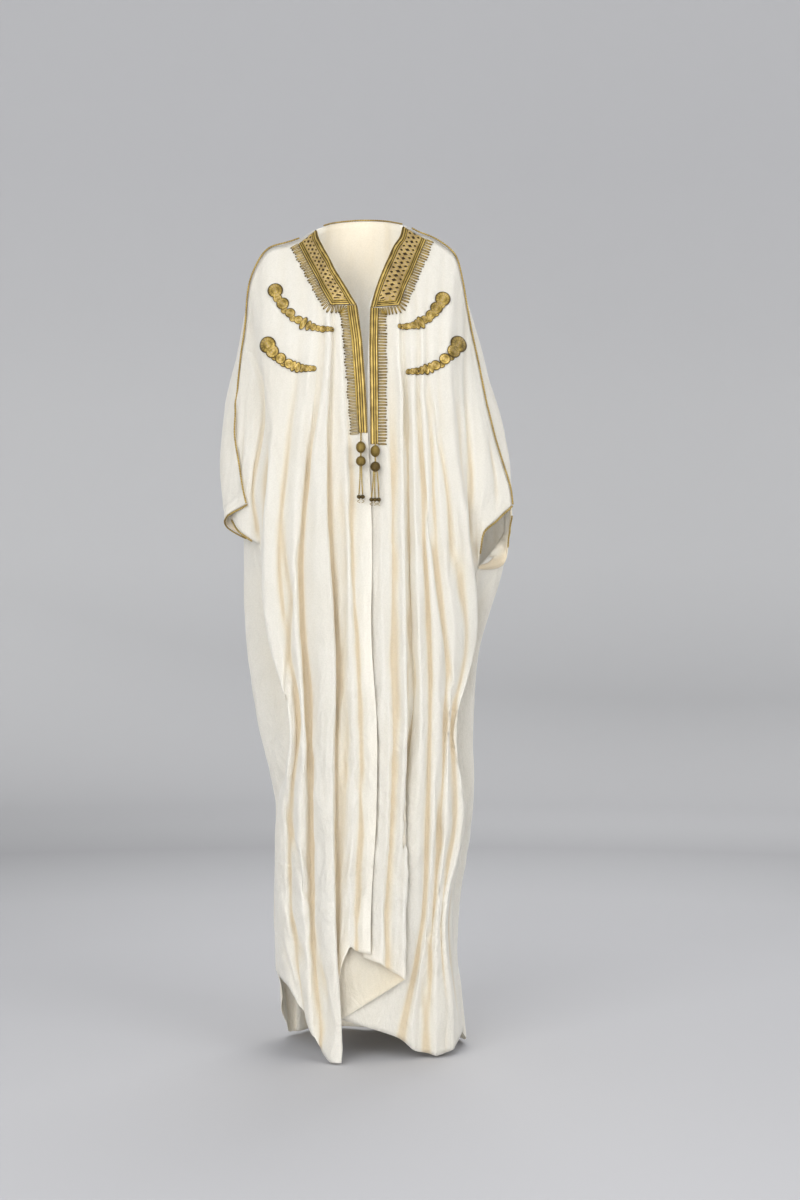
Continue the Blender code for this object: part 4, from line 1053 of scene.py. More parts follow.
def band_edges(band, side):
    """Three lines seen from the front: the neck edge, the outer edge and the bottom, each as (x, height)."""
    lines = FRONT_RIGHT_FOLDS if side == "right" else FRONT_LEFT_FOLDS
    name = RIGHT_NECK_LINE if side == "right" else LEFT_NECK_LINE
    edge = panels()[side].grid[0, :column_of(lines, name) + 1][::-1][:, [0, 2]]
    run = run_along(edge)
    along = np.linspace(BAND_TOP_INSET, 1, BAND_ROWS)
    neck = smooth_through(run / run[-1], edge, along)
    neck += (np.array(band.inner_bottom, float) - edge[-1]) * along[:, None] ** 6
    outer = np.outer(1 - along, band.outer_top) + np.outer(along, band.outer_bottom)
    return neck, outer


def lay(side, places, lift, height, uv, tone):
    """A closed piece on the cloth, from a grid of (x, height) places and its own height at each."""
    base = on_cloth(side, places)
    normals = grid_normals(base, "front", 2)
    lower = base + normals * lift
    return shell(lower + normals * height[..., None], lower, uv, tone)


def band_shape(band, side):
    """The wide band: neck stripes along the neck edge, outer stripes turning the lower corner, diamonds between."""
    neck, outer = band_edges(band, side)
    across = np.linspace(0, 1, BAND_COLUMNS)
    places = neck[:, None] + (outer - neck)[:, None] * across[None, :, None]
    from_neck = near(places, even(neck, 0.7))
    from_side = near(places, even(outer, 0.7))
    from_bottom = near(places, even(np.stack([neck[-1], outer[-1]]), 0.7))
    middle = run_along((neck + outer) / 2)
    along = np.broadcast_to(middle[:, None], from_neck.shape)
    from_edge = np.minimum(from_side, from_bottom)
    tone, height = striped(from_edge, OUTER_STRIPES)
    outer_width = OUTER_STRIPES[-1].end
    neck_width = NECK_STRIPES[-1].end
    within = (from_edge >= outer_width) & (from_neck >= neck_width)
    part = (from_neck - neck_width) / np.maximum(from_neck - neck_width + from_edge - outer_width, 1e-6)
    net_tone, net_height = diamonds(along, np.clip(part, 0, 0.999))
    tone = np.where(within, net_tone, tone)
    height = np.where(within, net_height, height)
    neck_tone, neck_height = striped(from_neck, NECK_STRIPES)
    inner = from_neck < neck_width
    tone = np.where(inner, neck_tone, tone)
    height = np.where(inner, neck_height, height)
    uv = np.stack([along, from_neck], axis=-1)
    return lay(side, places, BAND_LIFT, height, uv, tone)


def placket_places(placket, side, across):
    """Places on a placket, at the given distances from its opening edge as shares of its width."""
    heights = np.linspace(placket.heights[0], placket.heights[-1], PLACKET_ROWS)
    inner = np.interp(heights, placket.heights[::-1], placket.inner[::-1])
    width = np.interp(heights, placket.heights[::-1], placket.width[::-1])
    sign = -1 if side == "right" else 1
    x = inner[:, None] + sign * np.asarray(across)[None, :] * width[:, None]
    return np.stack([x, np.broadcast_to(heights[:, None], x.shape)], axis=-1), width


def placket_shape(placket, side):
    """The narrow strip beside the opening: a dark cord, then gold stripes with dark lines between."""
    across = np.linspace(0, 1, PLACKET_COLUMNS)
    places, width = placket_places(placket, side, across)
    distance = across[None, :] * width[:, None]
    tone, height = striped(distance, PLACKET_STRIPES)
    uv = np.stack([places[..., 1], distance], axis=-1)
    return lay(side, places, BAND_LIFT, height, uv, tone)


def edge_shape(band, placket, side):
    """A dark rolled edge of thread down the neck edge and on down the opening."""
    neck, _ = band_edges(band, side)
    strip, _ = placket_places(placket, side, (0.0,))
    line = soften(even(np.vstack([neck, strip[:, 0]]), 2.0), 6)
    path = on_cloth(side, line)
    path[:, 1] -= EDGE_RADIUS + BAND_LIFT * 0.5
    return rope(soften(path, 4), EDGE_RADIUS, (0.0, 1.0, 0.0), EDGE_PITCH, 8, EDGE_TONES)


def loop_shape(band, placket, side):
    """A row of thin hairpin loops beside the band, round its corner and down the placket.

    A loop goes out and back: its width is a cosine and its reach one less the fourth power of its path.
    """
    sizes = bpy.context.scene.kaftan_gold
    length, pitch, radius = sizes.loop_length / MM, sizes.loop_pitch / MM, sizes.loop_radius / MM
    _, outer = band_edges(band, side)
    strip, _ = placket_places(placket, side, (1.0,))
    bottom = np.array([band.outer_bottom, strip[0, 0]], float)
    foot = even(np.vstack([even(outer, 1.0), even(bottom, 1.0), even(strip[:, 0], 1.0)]), pitch)
    along = np.gradient(foot, axis=0)
    for _ in range(3):
        padded = np.vstack([along[:1], along, along[-1:]])
        along = unit(padded[:-2] + padded[1:-1] + padded[2:])
    away = np.stack([along[:, 1], -along[:, 0]], axis=1) * (1 if side == "right" else -1)
    random = np.random.default_rng(21 if side == "right" else 22)
    reach = length * random.uniform(0.88, 1.08, len(foot))
    lean = random.uniform(-0.5, 0.5, len(foot))
    t = np.linspace(0, 1, 15)
    half = -np.cos(np.pi * t) * LOOP_HALF_WIDTH * (1 - 0.3 * np.sin(np.pi * t))
    out = 1 - (2 * t - 1) ** 4
    flat = (foot[:, None] + along[:, None] * (half[None, :, None] + (lean[:, None] * out[None])[..., None])
            + away[:, None] * (reach[:, None] * out[None])[..., None])
    base = on_cloth(side, flat)
    base[..., 1] -= radius + 0.35 + 0.9 * np.sin(np.pi * t)[None] * 0.6
    flat_along = np.gradient(base, axis=1)
    front = np.array([0.0, -1.0, 0.0])
    sideways = unit(np.cross(flat_along, front))
    up = unit(np.cross(sideways, flat_along))
    turn = np.arange(3) * 2 * np.pi / 3
    rings = base[:, :, None] + radius * (
        np.cos(turn)[None, None, :, None] * sideways[:, :, None] + np.sin(turn)[None, None, :, None] * up[:, :, None]
    )
    tone = (0.72 - 0.42 * ease((out - 0.8) / 0.2))[None, :, None]
    tone = tone * random.uniform(0.85, 1.08, len(foot))[:, None, None]
    uv = np.stack(np.broadcast_arrays(reach[:, None, None] * out[None, :, None], turn[None, None]), axis=-1)
    return skin(rings, uv, np.clip(np.broadcast_to(tone, rings.shape[:3]), 0, 1))


def chain_shape(chain, side):
    """Domed discs along a curve, each overlapping the next, with rings and fine radial stitches."""
    t = np.linspace(0, 1, 60)[:, None]
    start, turn, end = (np.array(p, float) for p in (chain.start, chain.turn, chain.end))
    curve = (1 - t) ** 2 * start + 2 * t * (1 - t) * turn + t**2 * end
    run = run_along(curve)
    radii = np.array([disc.radius for disc in chain.discs]) * DISC_SCALE
    squeeze = np.array([disc.squeeze for disc in chain.discs])
    aside = np.array([disc.aside for disc in chain.discs])
    width = radii * (0.35 + 0.65 * squeeze)
    steps = width[:-1] + width[1:]
    centres = np.concatenate([[0], np.cumsum(steps)]) * run[-1] / steps.sum()
    middle = np.stack([np.interp(centres, run, curve[:, k]) for k in (0, 1)], axis=1)
    slope = unit(np.gradient(curve, run, axis=0))
    forward = unit(np.stack([np.interp(centres, run, slope[:, k]) for k in (0, 1)], axis=1))
    sideways = np.stack([-forward[:, 1], forward[:, 0]], axis=1)
    middle = middle + sideways * (aside * (-1 if side == "right" else 1))[:, None]
    profile = np.array(DISC_PROFILE)
    turn_round = np.arange(DISC_SIDES) * 2 * np.pi / DISC_SIDES
    u = np.cos(turn_round)[None, None] * profile[None, :, :1] * (radii * squeeze)[:, None, None]
    v = np.sin(turn_round)[None, None] * profile[None, :, :1] * radii[:, None, None]
    places = middle[:, None, None] + u[..., None] * forward[:, None, None] + v[..., None] * sideways[:, None, None]
    base = on_cloth(side, places)
    stitch = np.cos(turn_round * DISC_SIDES / 2)
    layer = 0.45 + 1.6 * np.clip((radii - 5.0) / 6.0, 0, 1) + 0.4 * (np.arange(len(radii)) % 2)
    rise = profile[None, :, 1:] * (0.75 + radii[:, None, None] / 30) + 0.06 * stitch
    base[..., 1] -= layer[:, None, None] + rise
    # Painted highlight: two brighter sectors on the gold fill of each disc, turned from one disc to the next. The
    # radial stitches are also painted a little darker where they dip, as shade.
    painted_sheen = 0.16 * np.cos(2 * (turn_round[None, None] - np.arange(len(radii))[:, None, None] * 1.7))
    tone = np.array(DISC_TONES)[None, :, None] * (0.93 + 0.07 * stitch) + painted_sheen * (np.array(DISC_TONES)[None, :, None] > 0.4)
    uv = np.stack(np.broadcast_arrays(turn_round[None, None] * 4, profile[None, :, :1] * radii[:, None, None]), axis=-1)
    return skin(base, uv, np.clip(np.broadcast_to(tone, base.shape[:3]), 0, 1))


def rings_along(path, radius, reference, sides):
    """Rings square to a path: the sideways direction is the path's own crossed with a reference."""
    along = unit(np.gradient(path, axis=0))
    sideways = unit(np.cross(along, reference))
    up = np.cross(sideways, along)
    turn = np.arange(sides) * 2 * np.pi / sides
    return path[:, None] + radius[..., None] * (
        np.cos(turn)[None, :, None] * sideways[:, None] + np.sin(turn)[None, :, None] * up[:, None]
    ), turn


def soften(points, passes):
    """The line with each inner point moved, over and over, towards the middle of its neighbours."""
    points = points.copy()
    for _ in range(passes):
        points[1:-1] = (points[:-2] + 2 * points[1:-1] + points[2:]) / 4
    return points


def rope(path, radius, reference, pitch, sides=CORD_SIDES, tones=(0.34, 0.58)):
    """A cord of two twisted plies: its section has two lobes that turn once in each pitch, with painted shade between
    them.
    """
    path = even(path, CORD_STEP)
    run = run_along(path)
    turn = np.arange(sides) * 2 * np.pi / sides
    lobe = np.abs(np.cos(turn[None] - np.pi * run[:, None] / pitch))
    ends = np.minimum(ease((run + 0.4) / radius), ease((run[-1] + 0.4 - run) / radius))
    section = radius * (0.7 + 0.3 * lobe) * (0.35 + 0.65 * ends)[:, None]
    rings, _ = rings_along(path, section, reference, sides)
    uv = np.stack(np.broadcast_arrays(run[:, None], turn[None] * radius), axis=-1)
    # Painted shade: the tone falls between the two plies and rises on their crests.
    return skin(rings[None], uv[None], (tones[0] + tones[1] * lobe)[None])


def beside(edge, away, gap):
    """The middle line of a cord beside an edge, moved off it in the away directions made square to it."""
    along = unit(np.gradient(edge, axis=0))
    away = unit(away - (away * along).sum(axis=1, keepdims=True) * along)
    for _ in range(8):
        padded = np.vstack([away[:1], away, away[-1:]])
        away = unit(padded[:-2] + 2 * padded[1:-1] + padded[2:])
    return edge + away * (CORD_RADIUS + gap)


def ball_shape(centre, ball):
    """A ball of wound thread: a round profile with shallow winding ridges that lean a little."""
    a = np.linspace(0.06, np.pi - 0.06, 40)[:, None]
    turn = (np.arange(28) * 2 * np.pi / 28)[None]
    ridge = np.cos(a * 34 + 2.2 * np.sin(turn))
    swell = 1 + 0.03 * ridge
    points = np.stack([
        centre[0] + ball.half_width * np.sin(a) * np.cos(turn) * swell,
        centre[1] + ball.half_width * np.sin(a) * np.sin(turn) * swell,
        centre[2] + ball.half_height * np.cos(a) * (1 + 0 * turn) * swell,
    ], axis=-1)
    uv = np.stack(np.broadcast_arrays(a * ball.half_height, turn * ball.half_width), axis=-1)
    return skin(points[None], uv[None], (ball.tone + 0.2 * ridge)[None])


def tassel_shape(tassel, side):
    """A twisted cord, two wound balls, strands to their knots and a curled tail below each knot."""
    widest = max(ball.half_width for ball in tassel.balls)
    heights = np.linspace(tassel.strand_end, tassel.balls[0].height + widest, 20)
    around = np.array([(tassel.x + dx, h) for dx in (-widest, 0, widest) for h in heights], float)
    y_low = on_cloth(side, around)[:, 1].min() - widest - CORD_GAP
    y_top = on_cloth(side, np.array([(tassel.x, tassel.top)], float))[0, 1] - 2.4
    upper, lower = tassel.balls
    front = (0.0, -1.0, 0.0)
    stem = np.array([(tassel.x, y_top, tassel.top + 3), (tassel.x, (y_top + y_low) / 2, upper.height + 14),
                     (tassel.x, y_low, upper.height), (tassel.x, y_low, lower.height)], float)
    parts = [rope(stem, TASSEL_CORD_RADIUS, front, 4.0, 8)]
    parts += [ball_shape((tassel.x, y_low, ball.height), ball) for ball in tassel.balls]
    knot_top = tassel.strand_end + KNOT_HEIGHT
    for k, offset in enumerate(tassel.strands):
        bow = 0.7 * (-1) ** k
        t = np.linspace(0, 1, 24)[:, None]
        top = np.array([tassel.x + offset * 0.4, y_low, lower.height - 0.5 * lower.half_height])
        end = np.array([tassel.x + offset, y_low, knot_top])
        strand = top + (end - top) * t + np.sin(np.pi * t) * (bow, -0.4, 0)
        parts.append(rope(strand, STRAND_RADIUS, front, 3.2, 6))
        knot = Ball(tassel.strand_end + KNOT_HEIGHT / 2, KNOT_RADIUS, KNOT_HEIGHT / 2, 0.26)
        parts.append(ball_shape((end[0], y_low, knot.height), knot))
        curl = np.linspace(0, 1, 30)[:, None]
        swing = np.hstack([np.sin(curl * 7) * 3.0 * (-1) ** k, np.cos(curl * 7) * 1.2, -curl * KNOT_TAIL * 0.7])
        tail = np.array([end[0], y_low, tassel.strand_end]) + swing * curl**0.3
        parts.append(rope(tail, 0.6, (0.2, -1.0, 0.1), 2.4, 6))
    return join(parts)


# Materials.


def new_material(name, roughness, metallic, sheen=0.0):
    """A material with its shader's even values set on the shader itself."""
    material = bpy.data.materials.new(name)
    material.use_nodes = True
    shader = material.node_tree.nodes["Principled BSDF"]
    shader.inputs["Roughness"].default_value = roughness
    shader.inputs["Metallic"].default_value = metallic
    shader.inputs["Sheen Weight"].default_value = sheen
    shader.inputs["Sheen Roughness"].default_value = 0.5
    return material, shader


def add_node(material, kind, links=(), **values):
    """A shader node with its settings, its sockets' values and links from other nodes' outputs."""
    node = material.node_tree.nodes.new(kind)
    for key, value in values.items():
        if hasattr(node, key):
            setattr(node, key, value)
        else:
            node.inputs[key.replace("_", " ")].default_value = value
    for socket, output in links:
        material.node_tree.links.new(output, node.inputs[socket])
    return node


def ramp(material, factor, stops):
    """A colour ramp through (position, colour) stops."""
    node = add_node(material, "ShaderNodeValToRGB", [("Fac", factor)])
    elements = node.color_ramp.elements
    while len(elements) < len(stops):
        elements.new(0.5)
    for element, (position, colour) in zip(elements, stops):
        element.position = position
        element.color = (*colour, 1.0)
    return node.outputs["Color"]


def mix(material, kind, factor, a, b):
    """A colour mix of one kind. The factor, and either side, may be a value or another node's output."""
    node = add_node(material, "ShaderNodeMix", data_type="RGBA", blend_type=kind)
    for socket, value in ((node.inputs["Factor"], factor), (node.inputs[6], a), (node.inputs[7], b)):
        if hasattr(value, "is_output"):
            material.node_tree.links.new(value, socket)
        elif isinstance(value, float):
            socket.default_value = value
        else:
            socket.default_value = (*value, 1.0)
    return node.outputs[2]


def link(material, output, socket):
    material.node_tree.links.new(output, socket)


@lru_cache(maxsize=1)
def cream_cloth():
    """Matt cream cloth: mottled, warmer deep in its folds and on its insides as painted shade, with a plain weave in
    the bump.
    """
    colours = bpy.context.scene.kaftan_cloth
    material, shader = new_material("cream_cloth", 0.86, 0.0, 0.18)
    place = add_node(material, "ShaderNodeTexCoord").outputs["Object"]
    uv = add_node(material, "ShaderNodeUVMap", uv_map="UVMap").outputs["UV"]
    deep = add_node(material, "ShaderNodeAttribute", attribute_name="tone").outputs["Fac"]
    cloud = add_node(material, "ShaderNodeTexNoise", [("Vector", place)], Scale=7.0, Detail=3.0)
    slub = add_node(material, "ShaderNodeTexNoise", [("Vector", place)], Scale=420.0, Detail=2.0)
    # The tone turns the cream towards tan: painted shade deep in the folds and on the insides, and the real tan of the
    # facings inside the sleeves' ends.
    base = ramp(material, deep, [(0.0, tuple(colours.cream)), (0.3, (0.785, 0.73, 0.61)),
                                 (0.7, (0.77, 0.68, 0.52)), (1.0, tuple(colours.tan))])
    shader.inputs["Subsurface Weight"].default_value = 0.65
    shader.inputs["Subsurface Radius"].default_value = (1.0, 0.98, 0.94)
    shader.inputs["Subsurface Scale"].default_value = 0.012
    mottled = mix(material, "MULTIPLY", 1.0, base,
                  ramp(material, cloud.outputs["Fac"], [(0.3, (0.95, 0.935, 0.91)), (0.7, (1.0, 1.0, 1.0))]))
    woven = mix(material, "MULTIPLY", 1.0, mottled,
                ramp(material, slub.outputs["Fac"], [(0.3, (0.93, 0.93, 0.92)), (0.65, (1.0, 1.0, 1.0))]))
    link(material, woven, shader.inputs["Base Color"])
    warp = add_node(material, "ShaderNodeTexWave", [("Vector", uv)], bands_direction="X", Scale=330.0,
                    Distortion=0.6)
    weft = add_node(material, "ShaderNodeTexWave", [("Vector", uv)], bands_direction="Y", Scale=330.0,
                    Distortion=0.6)
    weave = mix(material, "ADD", 0.5, warp.outputs["Color"], weft.outputs["Color"])
    soft = add_node(material, "ShaderNodeTexNoise", [("Vector", place)], Scale=95.0, Detail=4.0)
    fine = add_node(material, "ShaderNodeBump", [("Height", weave)], Strength=0.25, Distance=0.0002)
    bump = add_node(material, "ShaderNodeBump", [("Height", soft.outputs["Fac"]), ("Normal", fine.outputs["Normal"])],
                    Strength=0.35, Distance=0.0016)
    tall = add_node(material, "ShaderNodeVectorMath", [("Vector", place)], operation="MULTIPLY")
    tall.inputs[1].default_value = (1.0, 1.0, 0.4)
    crumple = add_node(material, "ShaderNodeTexNoise", [("Vector", tall.outputs["Vector"])], Scale=21.0, Detail=5.0,
                       Roughness=0.55, Distortion=0.7)
    low = add_node(material, "ShaderNodeMapRange",
                   [("Value", add_node(material, "ShaderNodeSeparateXYZ", [("Vector", place)]).outputs["Z"])])
    low.inputs["From Min"].default_value = -0.35
    low.inputs["From Max"].default_value = -1.0
    low.inputs["To Min"].default_value = 0.16
    low.inputs["To Max"].default_value = 0.75
    bump = add_node(material, "ShaderNodeBump", [
        ("Height", crumple.outputs["Fac"]), ("Normal", bump.outputs["Normal"]), ("Strength", low.outputs["Result"]),
    ], Distance=0.016)
    link(material, bump.outputs["Normal"], shader.inputs["Normal"])
    return material


GOLD_STOPS = (
    (0.0, (0.020, 0.011, 0.005)),
    (0.3, (0.11, 0.072, 0.016)),
    (0.6, (0.34, 0.245, 0.055)),
    (0.8, (0.55, 0.41, 0.125)),
    (1.0, (0.42, 0.325, 0.235)),
)


def gold_material(name, roughness, darken, stitch_scale):
    """Metallic thread: colour from the piece's own tone, uneven along it, with fine stitches in the bump and painted in
    the colour as shade between them and highlight on them.
    """
    shine = bpy.context.scene.kaftan_gold.shine
    material, shader = new_material(name, roughness, shine)
    place = add_node(material, "ShaderNodeTexCoord").outputs["Object"]
    uv = add_node(material, "ShaderNodeUVMap", uv_map="UVMap").outputs["UV"]
    tone = add_node(material, "ShaderNodeAttribute", attribute_name="tone").outputs["Fac"]
    colour = ramp(material, tone, [(p, tuple(c * darken for c in rgb)) for p, rgb in GOLD_STOPS])
    worn = add_node(material, "ShaderNodeTexNoise", [("Vector", place)], Scale=60.0, Detail=3.0)
    aged = mix(material, "MULTIPLY", 1.0, colour,
               ramp(material, worn.outputs["Fac"], [(0.3, (0.66, 0.62, 0.55)), (0.62, (1.08, 1.05, 1.0))]))
    stitches = add_node(material, "ShaderNodeTexWave", [("Vector", uv)], bands_direction="X", Scale=stitch_scale,
                        Distortion=1.2)
    # Painted shade and highlight: the colour darkens between the stitches and brightens a little on them.
    painted_stitch_light = mix(material, "MULTIPLY", 0.55, aged,
              ramp(material, stitches.outputs["Fac"], [(0.0, (0.55, 0.5, 0.42)), (0.6, (1.1, 1.1, 1.1))]))
    link(material, painted_stitch_light, shader.inputs["Base Color"])
    rough = ramp(material, worn.outputs["Fac"], [(0.3, (0.6, 0.6, 0.6)), (0.7, (0.36, 0.36, 0.36))])
    link(material, rough, shader.inputs["Roughness"])
    bump = add_node(material, "ShaderNodeBump", [("Height", stitches.outputs["Fac"])], Strength=0.6, Distance=0.0003)
    link(material, bump.outputs["Normal"], shader.inputs["Normal"])
    return material


@lru_cache(maxsize=1)
def gold_braid():
    return gold_material("gold_braid", 0.45, 1.0, 170.0)


@lru_cache(maxsize=1)
def gold_cord():
    return gold_material("gold_cord", 0.45, 0.9, 240.0)


@lru_cache(maxsize=1)
def dark_gold_thread():
    return gold_material("dark_gold_thread", 0.5, 0.85, 260.0)


# Operators: one for each piece or group of like pieces.


class KAFTAN_OT_panels(bpy.types.Operator):
    """Make the two fronts and the back of cream cloth"""

    bl_idname = "kaftan.panels"
    bl_label = "Cloth panels"

    def execute(self, context):
        for side, node in (("right", "front_right_panel"), ("left", "front_left_panel"), ("back", "back_panel")):
            panel = panels()[side]
            add_piece(panel.name, panel_shape(panel), cream_cloth(), [node])
        return {"FINISHED"}


class KAFTAN_OT_neck_bands(bpy.types.Operator):
    """Make the wide embroidered bands at the neck"""

    bl_idname = "kaftan.neck_bands"
    bl_label = "Neck bands"

    def execute(self, context):
        for band, side in ((BAND_RIGHT, "right"), (BAND_LEFT, "left")):
            add_piece(f"braid_band_{side}", band_shape(band, side), gold_braid(), [band.name])
        return {"FINISHED"}


class KAFTAN_OT_plackets(bpy.types.Operator):
    """Make the narrow striped plackets beside the opening"""

    bl_idname = "kaftan.plackets"
    bl_label = "Plackets"

    def execute(self, context):
        for placket, side in ((PLACKET_RIGHT, "right"), (PLACKET_LEFT, "left")):
            add_piece(f"braid_strip_{side}", placket_shape(placket, side), gold_braid(),
                      [placket.name])
        return {"FINISHED"}


class KAFTAN_OT_loops(bpy.types.Operator):
    """Make the rows of small loops beside the bands and plackets"""

    bl_idname = "kaftan.loops"
    bl_label = "Loops"

    def execute(self, context):
        for band, placket, side in (
            (BAND_RIGHT, PLACKET_RIGHT, "right"),
            (BAND_LEFT, PLACKET_LEFT, "left"),
        ):
            add_piece(f"loops_{side}", loop_shape(band, placket, side), gold_braid())
            add_piece(f"rolled_edge_{side}", edge_shape(band, placket, side), gold_braid())
        return {"FINISHED"}


class KAFTAN_OT_chains(bpy.types.Operator):
    """Make the curved chains of overlapping discs"""

    bl_idname = "kaftan.chains"
    bl_label = "Chains of discs"

    def execute(self, context):
        for chain in CHAINS:
            side = "right" if chain.start[0] < 0 else "left"
            name = chain.name.replace("chain", "discs")
            add_piece(name, chain_shape(chain, side), gold_braid(), [chain.name])
        return {"FINISHED"}


class KAFTAN_OT_cords(bpy.types.Operator):
    """Make the twisted cords on the seams, the neck and the hand openings"""

    bl_idname = "kaftan.cords"
    bl_label = "Cords"

    def execute(self, context):
        sheets = panels()
        right, left, back = sheets["right"], sheets["left"], sheets["back"]
        first_step = BETWEEN_FOLDS
        for panel, side, neck_line, lines in (
            (right, "right", RIGHT_NECK_LINE, FRONT_RIGHT_FOLDS),
            (left, "left", LEFT_NECK_LINE, FRONT_LEFT_FOLDS),
        ):
            first = column_of(lines, neck_line) + first_step
            sleeve = 0 if side == "right" else -1
            edge = np.vstack([panel.grid[0, first:], back.grid[1:UPPER_ROWS + 1, sleeve]])
            away = np.vstack([panel.normals[0, first:], back.normals[1:UPPER_ROWS + 1, sleeve]])
            path = soften(even(beside(edge, away, CORD_GAP), SEAM_STEP), SEAM_PASSES)
            add_piece(f"cord_seam_{side}", rope(path, CORD_RADIUS, (0.2, 1.0, 0.1), PLY_PITCH), gold_cord(),
                      [f"seam_cord_{side}"])
        step = BETWEEN_FOLDS // 2
        neck = slice(column_of(BACK_LINES, "right blade crest") + step, column_of(BACK_LINES, "left blade crest"))
        path = beside(back.grid[0, neck], back.grid[0, neck] - back.grid[UPPER_ROWS // 8, neck], CORD_GAP)
        add_piece("cord_neck", rope(path, CORD_RADIUS, (0.0, 0.1, 1.0), PLY_PITCH), gold_cord(),
                  ["neck_cord"])
        for panel, name, columns in (
            (right, "cuff_cord_right_front", slice(-1 - 5 * step, None)),
            (back, "cuff_cord_right_back", slice(0, 1 + 5 * step)),
            (left, "cuff_cord_left_front", slice(-1 - 5 * step, None)),
            (back, "cuff_cord_left_back", slice(-1 - 3 * step, -step)),
        ):
            rim = panel.grid[UPPER_ROWS, columns]
            path = beside(rim, rim - panel.grid[UPPER_ROWS - UPPER_ROWS // 8, columns], CUFF_CORD_GAP)
            add_piece(name.replace("cuff_cord", "cord_cuff"), rope(path, CORD_RADIUS, (0.1, 0.2, 1.0), PLY_PITCH),
                      gold_cord(), [name])
        return {"FINISHED"}


class KAFTAN_OT_tassels(bpy.types.Operator):
    """Make the two tassels of cord, wound balls and knotted strands"""

    bl_idname = "kaftan.tassels"
    bl_label = "Tassels"

    def execute(self, context):
        for tassel, side in ((TASSEL_RIGHT, "right"), (TASSEL_LEFT, "left")):
            add_piece(f"hanging_{tassel.name}", tassel_shape(tassel, "right"), dark_gold_thread(),
                      [tassel.name])
        return {"FINISHED"}


ROOM_RADIUS = 7.0
ROOM_CORNER = 2.2
ROOM_HEIGHT = 4.3
# Painted shade on the room: the floor a little darker out from the middle, darkest in a ring further out and brighter
# towards the foot of the wall; the wall a little darker high up.
FLOOR_PAINTED_SHADE = ((0.0, (0.74, 0.74, 0.765)), (0.2, (0.71, 0.71, 0.735)), (0.32, (0.65, 0.65, 0.67)),
                (0.5, (0.48, 0.48, 0.495)), (0.72, (0.66, 0.66, 0.675)), (0.95, (1.05, 1.05, 1.06)))
WALL_PAINTED_SHADE = ((0.0, (1.0, 1.0, 1.0)), (0.3, (1.0, 1.0, 1.0)), (0.5, (0.94, 0.94, 0.95)))


def room_mesh():
    """A round floor that curves up into a wall: a profile turned about the middle."""
    flat = np.linspace(0.0001, ROOM_RADIUS - ROOM_CORNER, 30)
    bend = np.linspace(0, np.pi / 2, 24)[1:]
    radius = np.concatenate([flat, ROOM_RADIUS - ROOM_CORNER + ROOM_CORNER * np.sin(bend), [ROOM_RADIUS]])
    height = np.concatenate([flat * 0, ROOM_CORNER * (1 - np.cos(bend)), [ROOM_HEIGHT]])
    turn = np.arange(96) * 2 * np.pi / 96
    points = np.stack([radius[:, None] * np.cos(turn), radius[:, None] * np.sin(turn),
                       height[:, None] + 0 * turn - HELD_HEIGHT * MM], axis=-1)
    index = np.arange(points.shape[0] * 96).reshape(-1, 96)
    turned = np.roll(index, -1, axis=1)
    quads = np.stack([index[:-1], turned[:-1], turned[1:], index[1:]], axis=-1).reshape(-1, 4)
    mesh = bpy.data.meshes.new("room")
    mesh.from_pydata(points.reshape(-1, 3).tolist(), [], quads.tolist())
    mesh.shade_smooth()
    return mesh


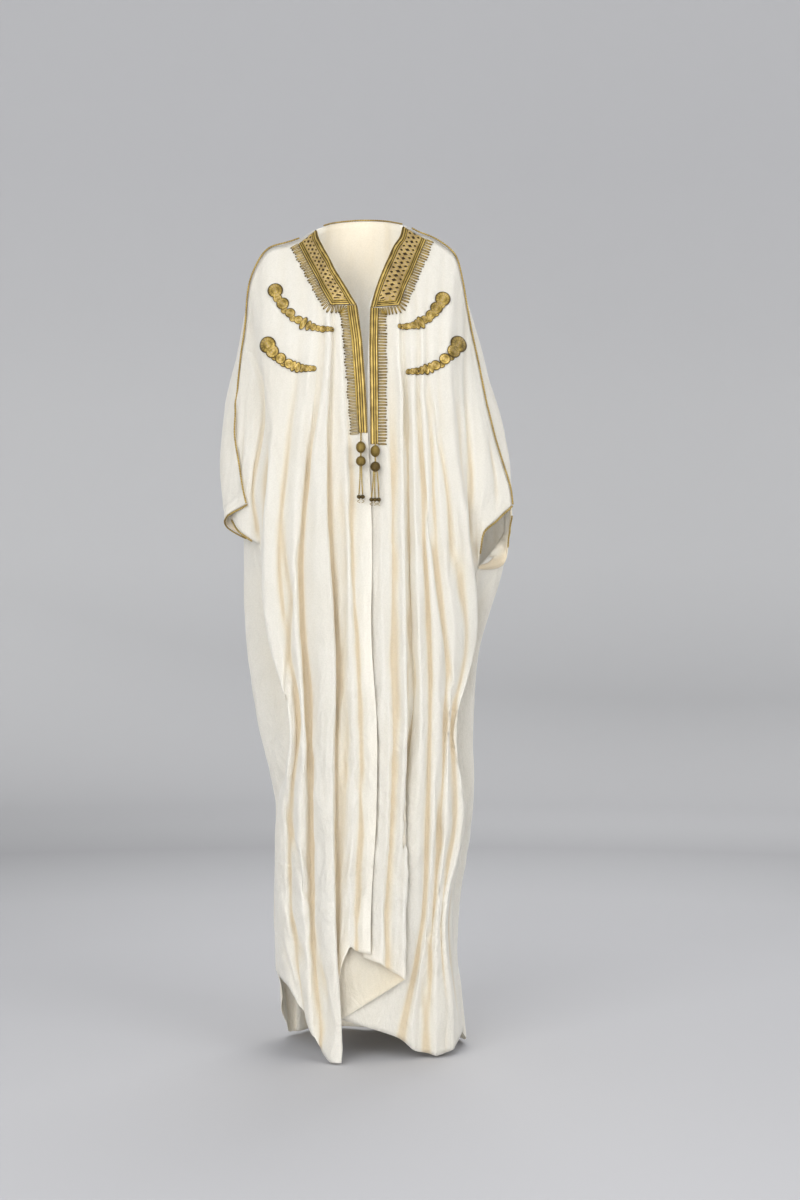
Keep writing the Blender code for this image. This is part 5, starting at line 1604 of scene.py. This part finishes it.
class KAFTAN_OT_stage(bpy.types.Operator):
    """Make the pale floor and wall, the lights and the camera"""

    bl_idname = "kaftan.stage"
    bl_label = "Stage"

    def execute(self, context):
        sizes = context.scene.kaftan_stage
        material, shader = new_material("room", 0.9, 0.0)
        place = add_node(material, "ShaderNodeTexCoord").outputs["Object"]
        level = add_node(material, "ShaderNodeVectorMath", [("Vector", place)], operation="MULTIPLY")
        level.inputs[1].default_value = (1 / ROOM_RADIUS, 1 / ROOM_RADIUS, 0.0)
        far = add_node(material, "ShaderNodeVectorMath", [("Vector", level.outputs["Vector"])], operation="LENGTH")
        high = add_node(material, "ShaderNodeSeparateXYZ", [("Vector", place)])
        share = add_node(material, "ShaderNodeMapRange", [("Value", high.outputs["Z"])])
        share.inputs["From Min"].default_value = -HELD_HEIGHT * MM
        share.inputs["From Max"].default_value = ROOM_HEIGHT
        # The floor's ramp and the wall's ramp paint shade on the room.
        across = ramp(material, far.outputs["Value"], FLOOR_PAINTED_SHADE)
        up = ramp(material, share.outputs["Result"], WALL_PAINTED_SHADE)
        shaded_room_colour = mix(material, "MULTIPLY", 1.0, mix(material, "MULTIPLY", 1.0, tuple(sizes.floor), across), up)
        link(material, shaded_room_colour, shader.inputs["Base Color"])
        room = bpy.data.objects.new("room", room_mesh())
        room.data.materials.append(material)
        context.scene.collection.objects.link(room)
        for name, spot, size, share in (
            ("key", (-1.9, -4.8, 0.9), 3.2, 1.0),
            ("fill", (3.4, -4.2, 0.6), 3.0, 0.78),
            ("low", (-0.7, -3.9, -1.0), 1.2, 0.26),
            ("rear", (1.0, 4.4, 1.6), 3.0, 0.6),
        ):
            data = bpy.data.lights.new(name, "AREA")
            data.size = size
            data.energy = sizes.light * share
            light = bpy.data.objects.new(name, data)
            light.location = spot
            aim = Vector((0.0, 0.0, -0.95)) - Vector(spot)
            light.rotation_euler = aim.to_track_quat("-Z", "Y").to_euler()
            light.visible_camera = False
            context.scene.collection.objects.link(light)
        world = bpy.data.worlds.new("studio")
        world.use_nodes = True
        world.node_tree.nodes["Background"].inputs["Color"].default_value = (0.98, 0.99, 1.0, 1.0)
        world.node_tree.nodes["Background"].inputs["Strength"].default_value = sizes.ambient
        context.scene.world = world
        context.scene.view_settings.view_transform = "Standard"
        camera_data = bpy.data.cameras.new("camera")
        camera_data.lens = 70
        camera_data.sensor_width = 36
        camera = bpy.data.objects.new("camera", camera_data)
        camera.location = (0.0615, -4.35, -0.67)
        camera.rotation_euler = (np.pi / 2, 0, 0)
        context.scene.collection.objects.link(camera)
        context.scene.camera = camera
        return {"FINISHED"}


OPERATORS = (
    KAFTAN_OT_panels,
    KAFTAN_OT_neck_bands,
    KAFTAN_OT_plackets,
    KAFTAN_OT_loops,
    KAFTAN_OT_chains,
    KAFTAN_OT_cords,
    KAFTAN_OT_tassels,
    KAFTAN_OT_stage,
)


class KAFTAN_PT_sidebar(bpy.types.Panel):
    """Lists the kaftan's operators and settings"""

    bl_idname = "KAFTAN_PT_sidebar"
    bl_label = "Kaftan"
    bl_space_type = "VIEW_3D"
    bl_region_type = "UI"
    bl_category = "Kaftan"

    def draw(self, context):
        for operator in OPERATORS:
            self.layout.operator(operator.bl_idname)
        for group in (context.scene.kaftan_cloth, context.scene.kaftan_gold, context.scene.kaftan_stage):
            for name in group.__annotations__:
                self.layout.prop(group, name)


CLASSES = (KaftanCloth, KaftanGold, KaftanStage, *OPERATORS, KAFTAN_PT_sidebar)


def register():
    for item in CLASSES:
        bpy.utils.register_class(item)
    bpy.types.Scene.kaftan_cloth = bpy.props.PointerProperty(type=KaftanCloth)
    bpy.types.Scene.kaftan_gold = bpy.props.PointerProperty(type=KaftanGold)
    bpy.types.Scene.kaftan_stage = bpy.props.PointerProperty(type=KaftanStage)


def unregister():
    del bpy.types.Scene.kaftan_stage
    del bpy.types.Scene.kaftan_gold
    del bpy.types.Scene.kaftan_cloth
    for item in reversed(CLASSES):
        bpy.utils.unregister_class(item)


# Fields for a panel's cut: the piece, and the width and length of the flat cloth that shows, in metres.
Cut = namedtuple("Cut", "piece width length")


def main():
    """Makes every piece in order."""
    register()
    bpy.ops.kaftan.panels()
    bpy.ops.kaftan.neck_bands()
    bpy.ops.kaftan.plackets()
    bpy.ops.kaftan.loops()
    bpy.ops.kaftan.chains()
    bpy.ops.kaftan.cords()
    bpy.ops.kaftan.tassels()
    bpy.ops.kaftan.stage()


if __name__ == "__main__":
    main()
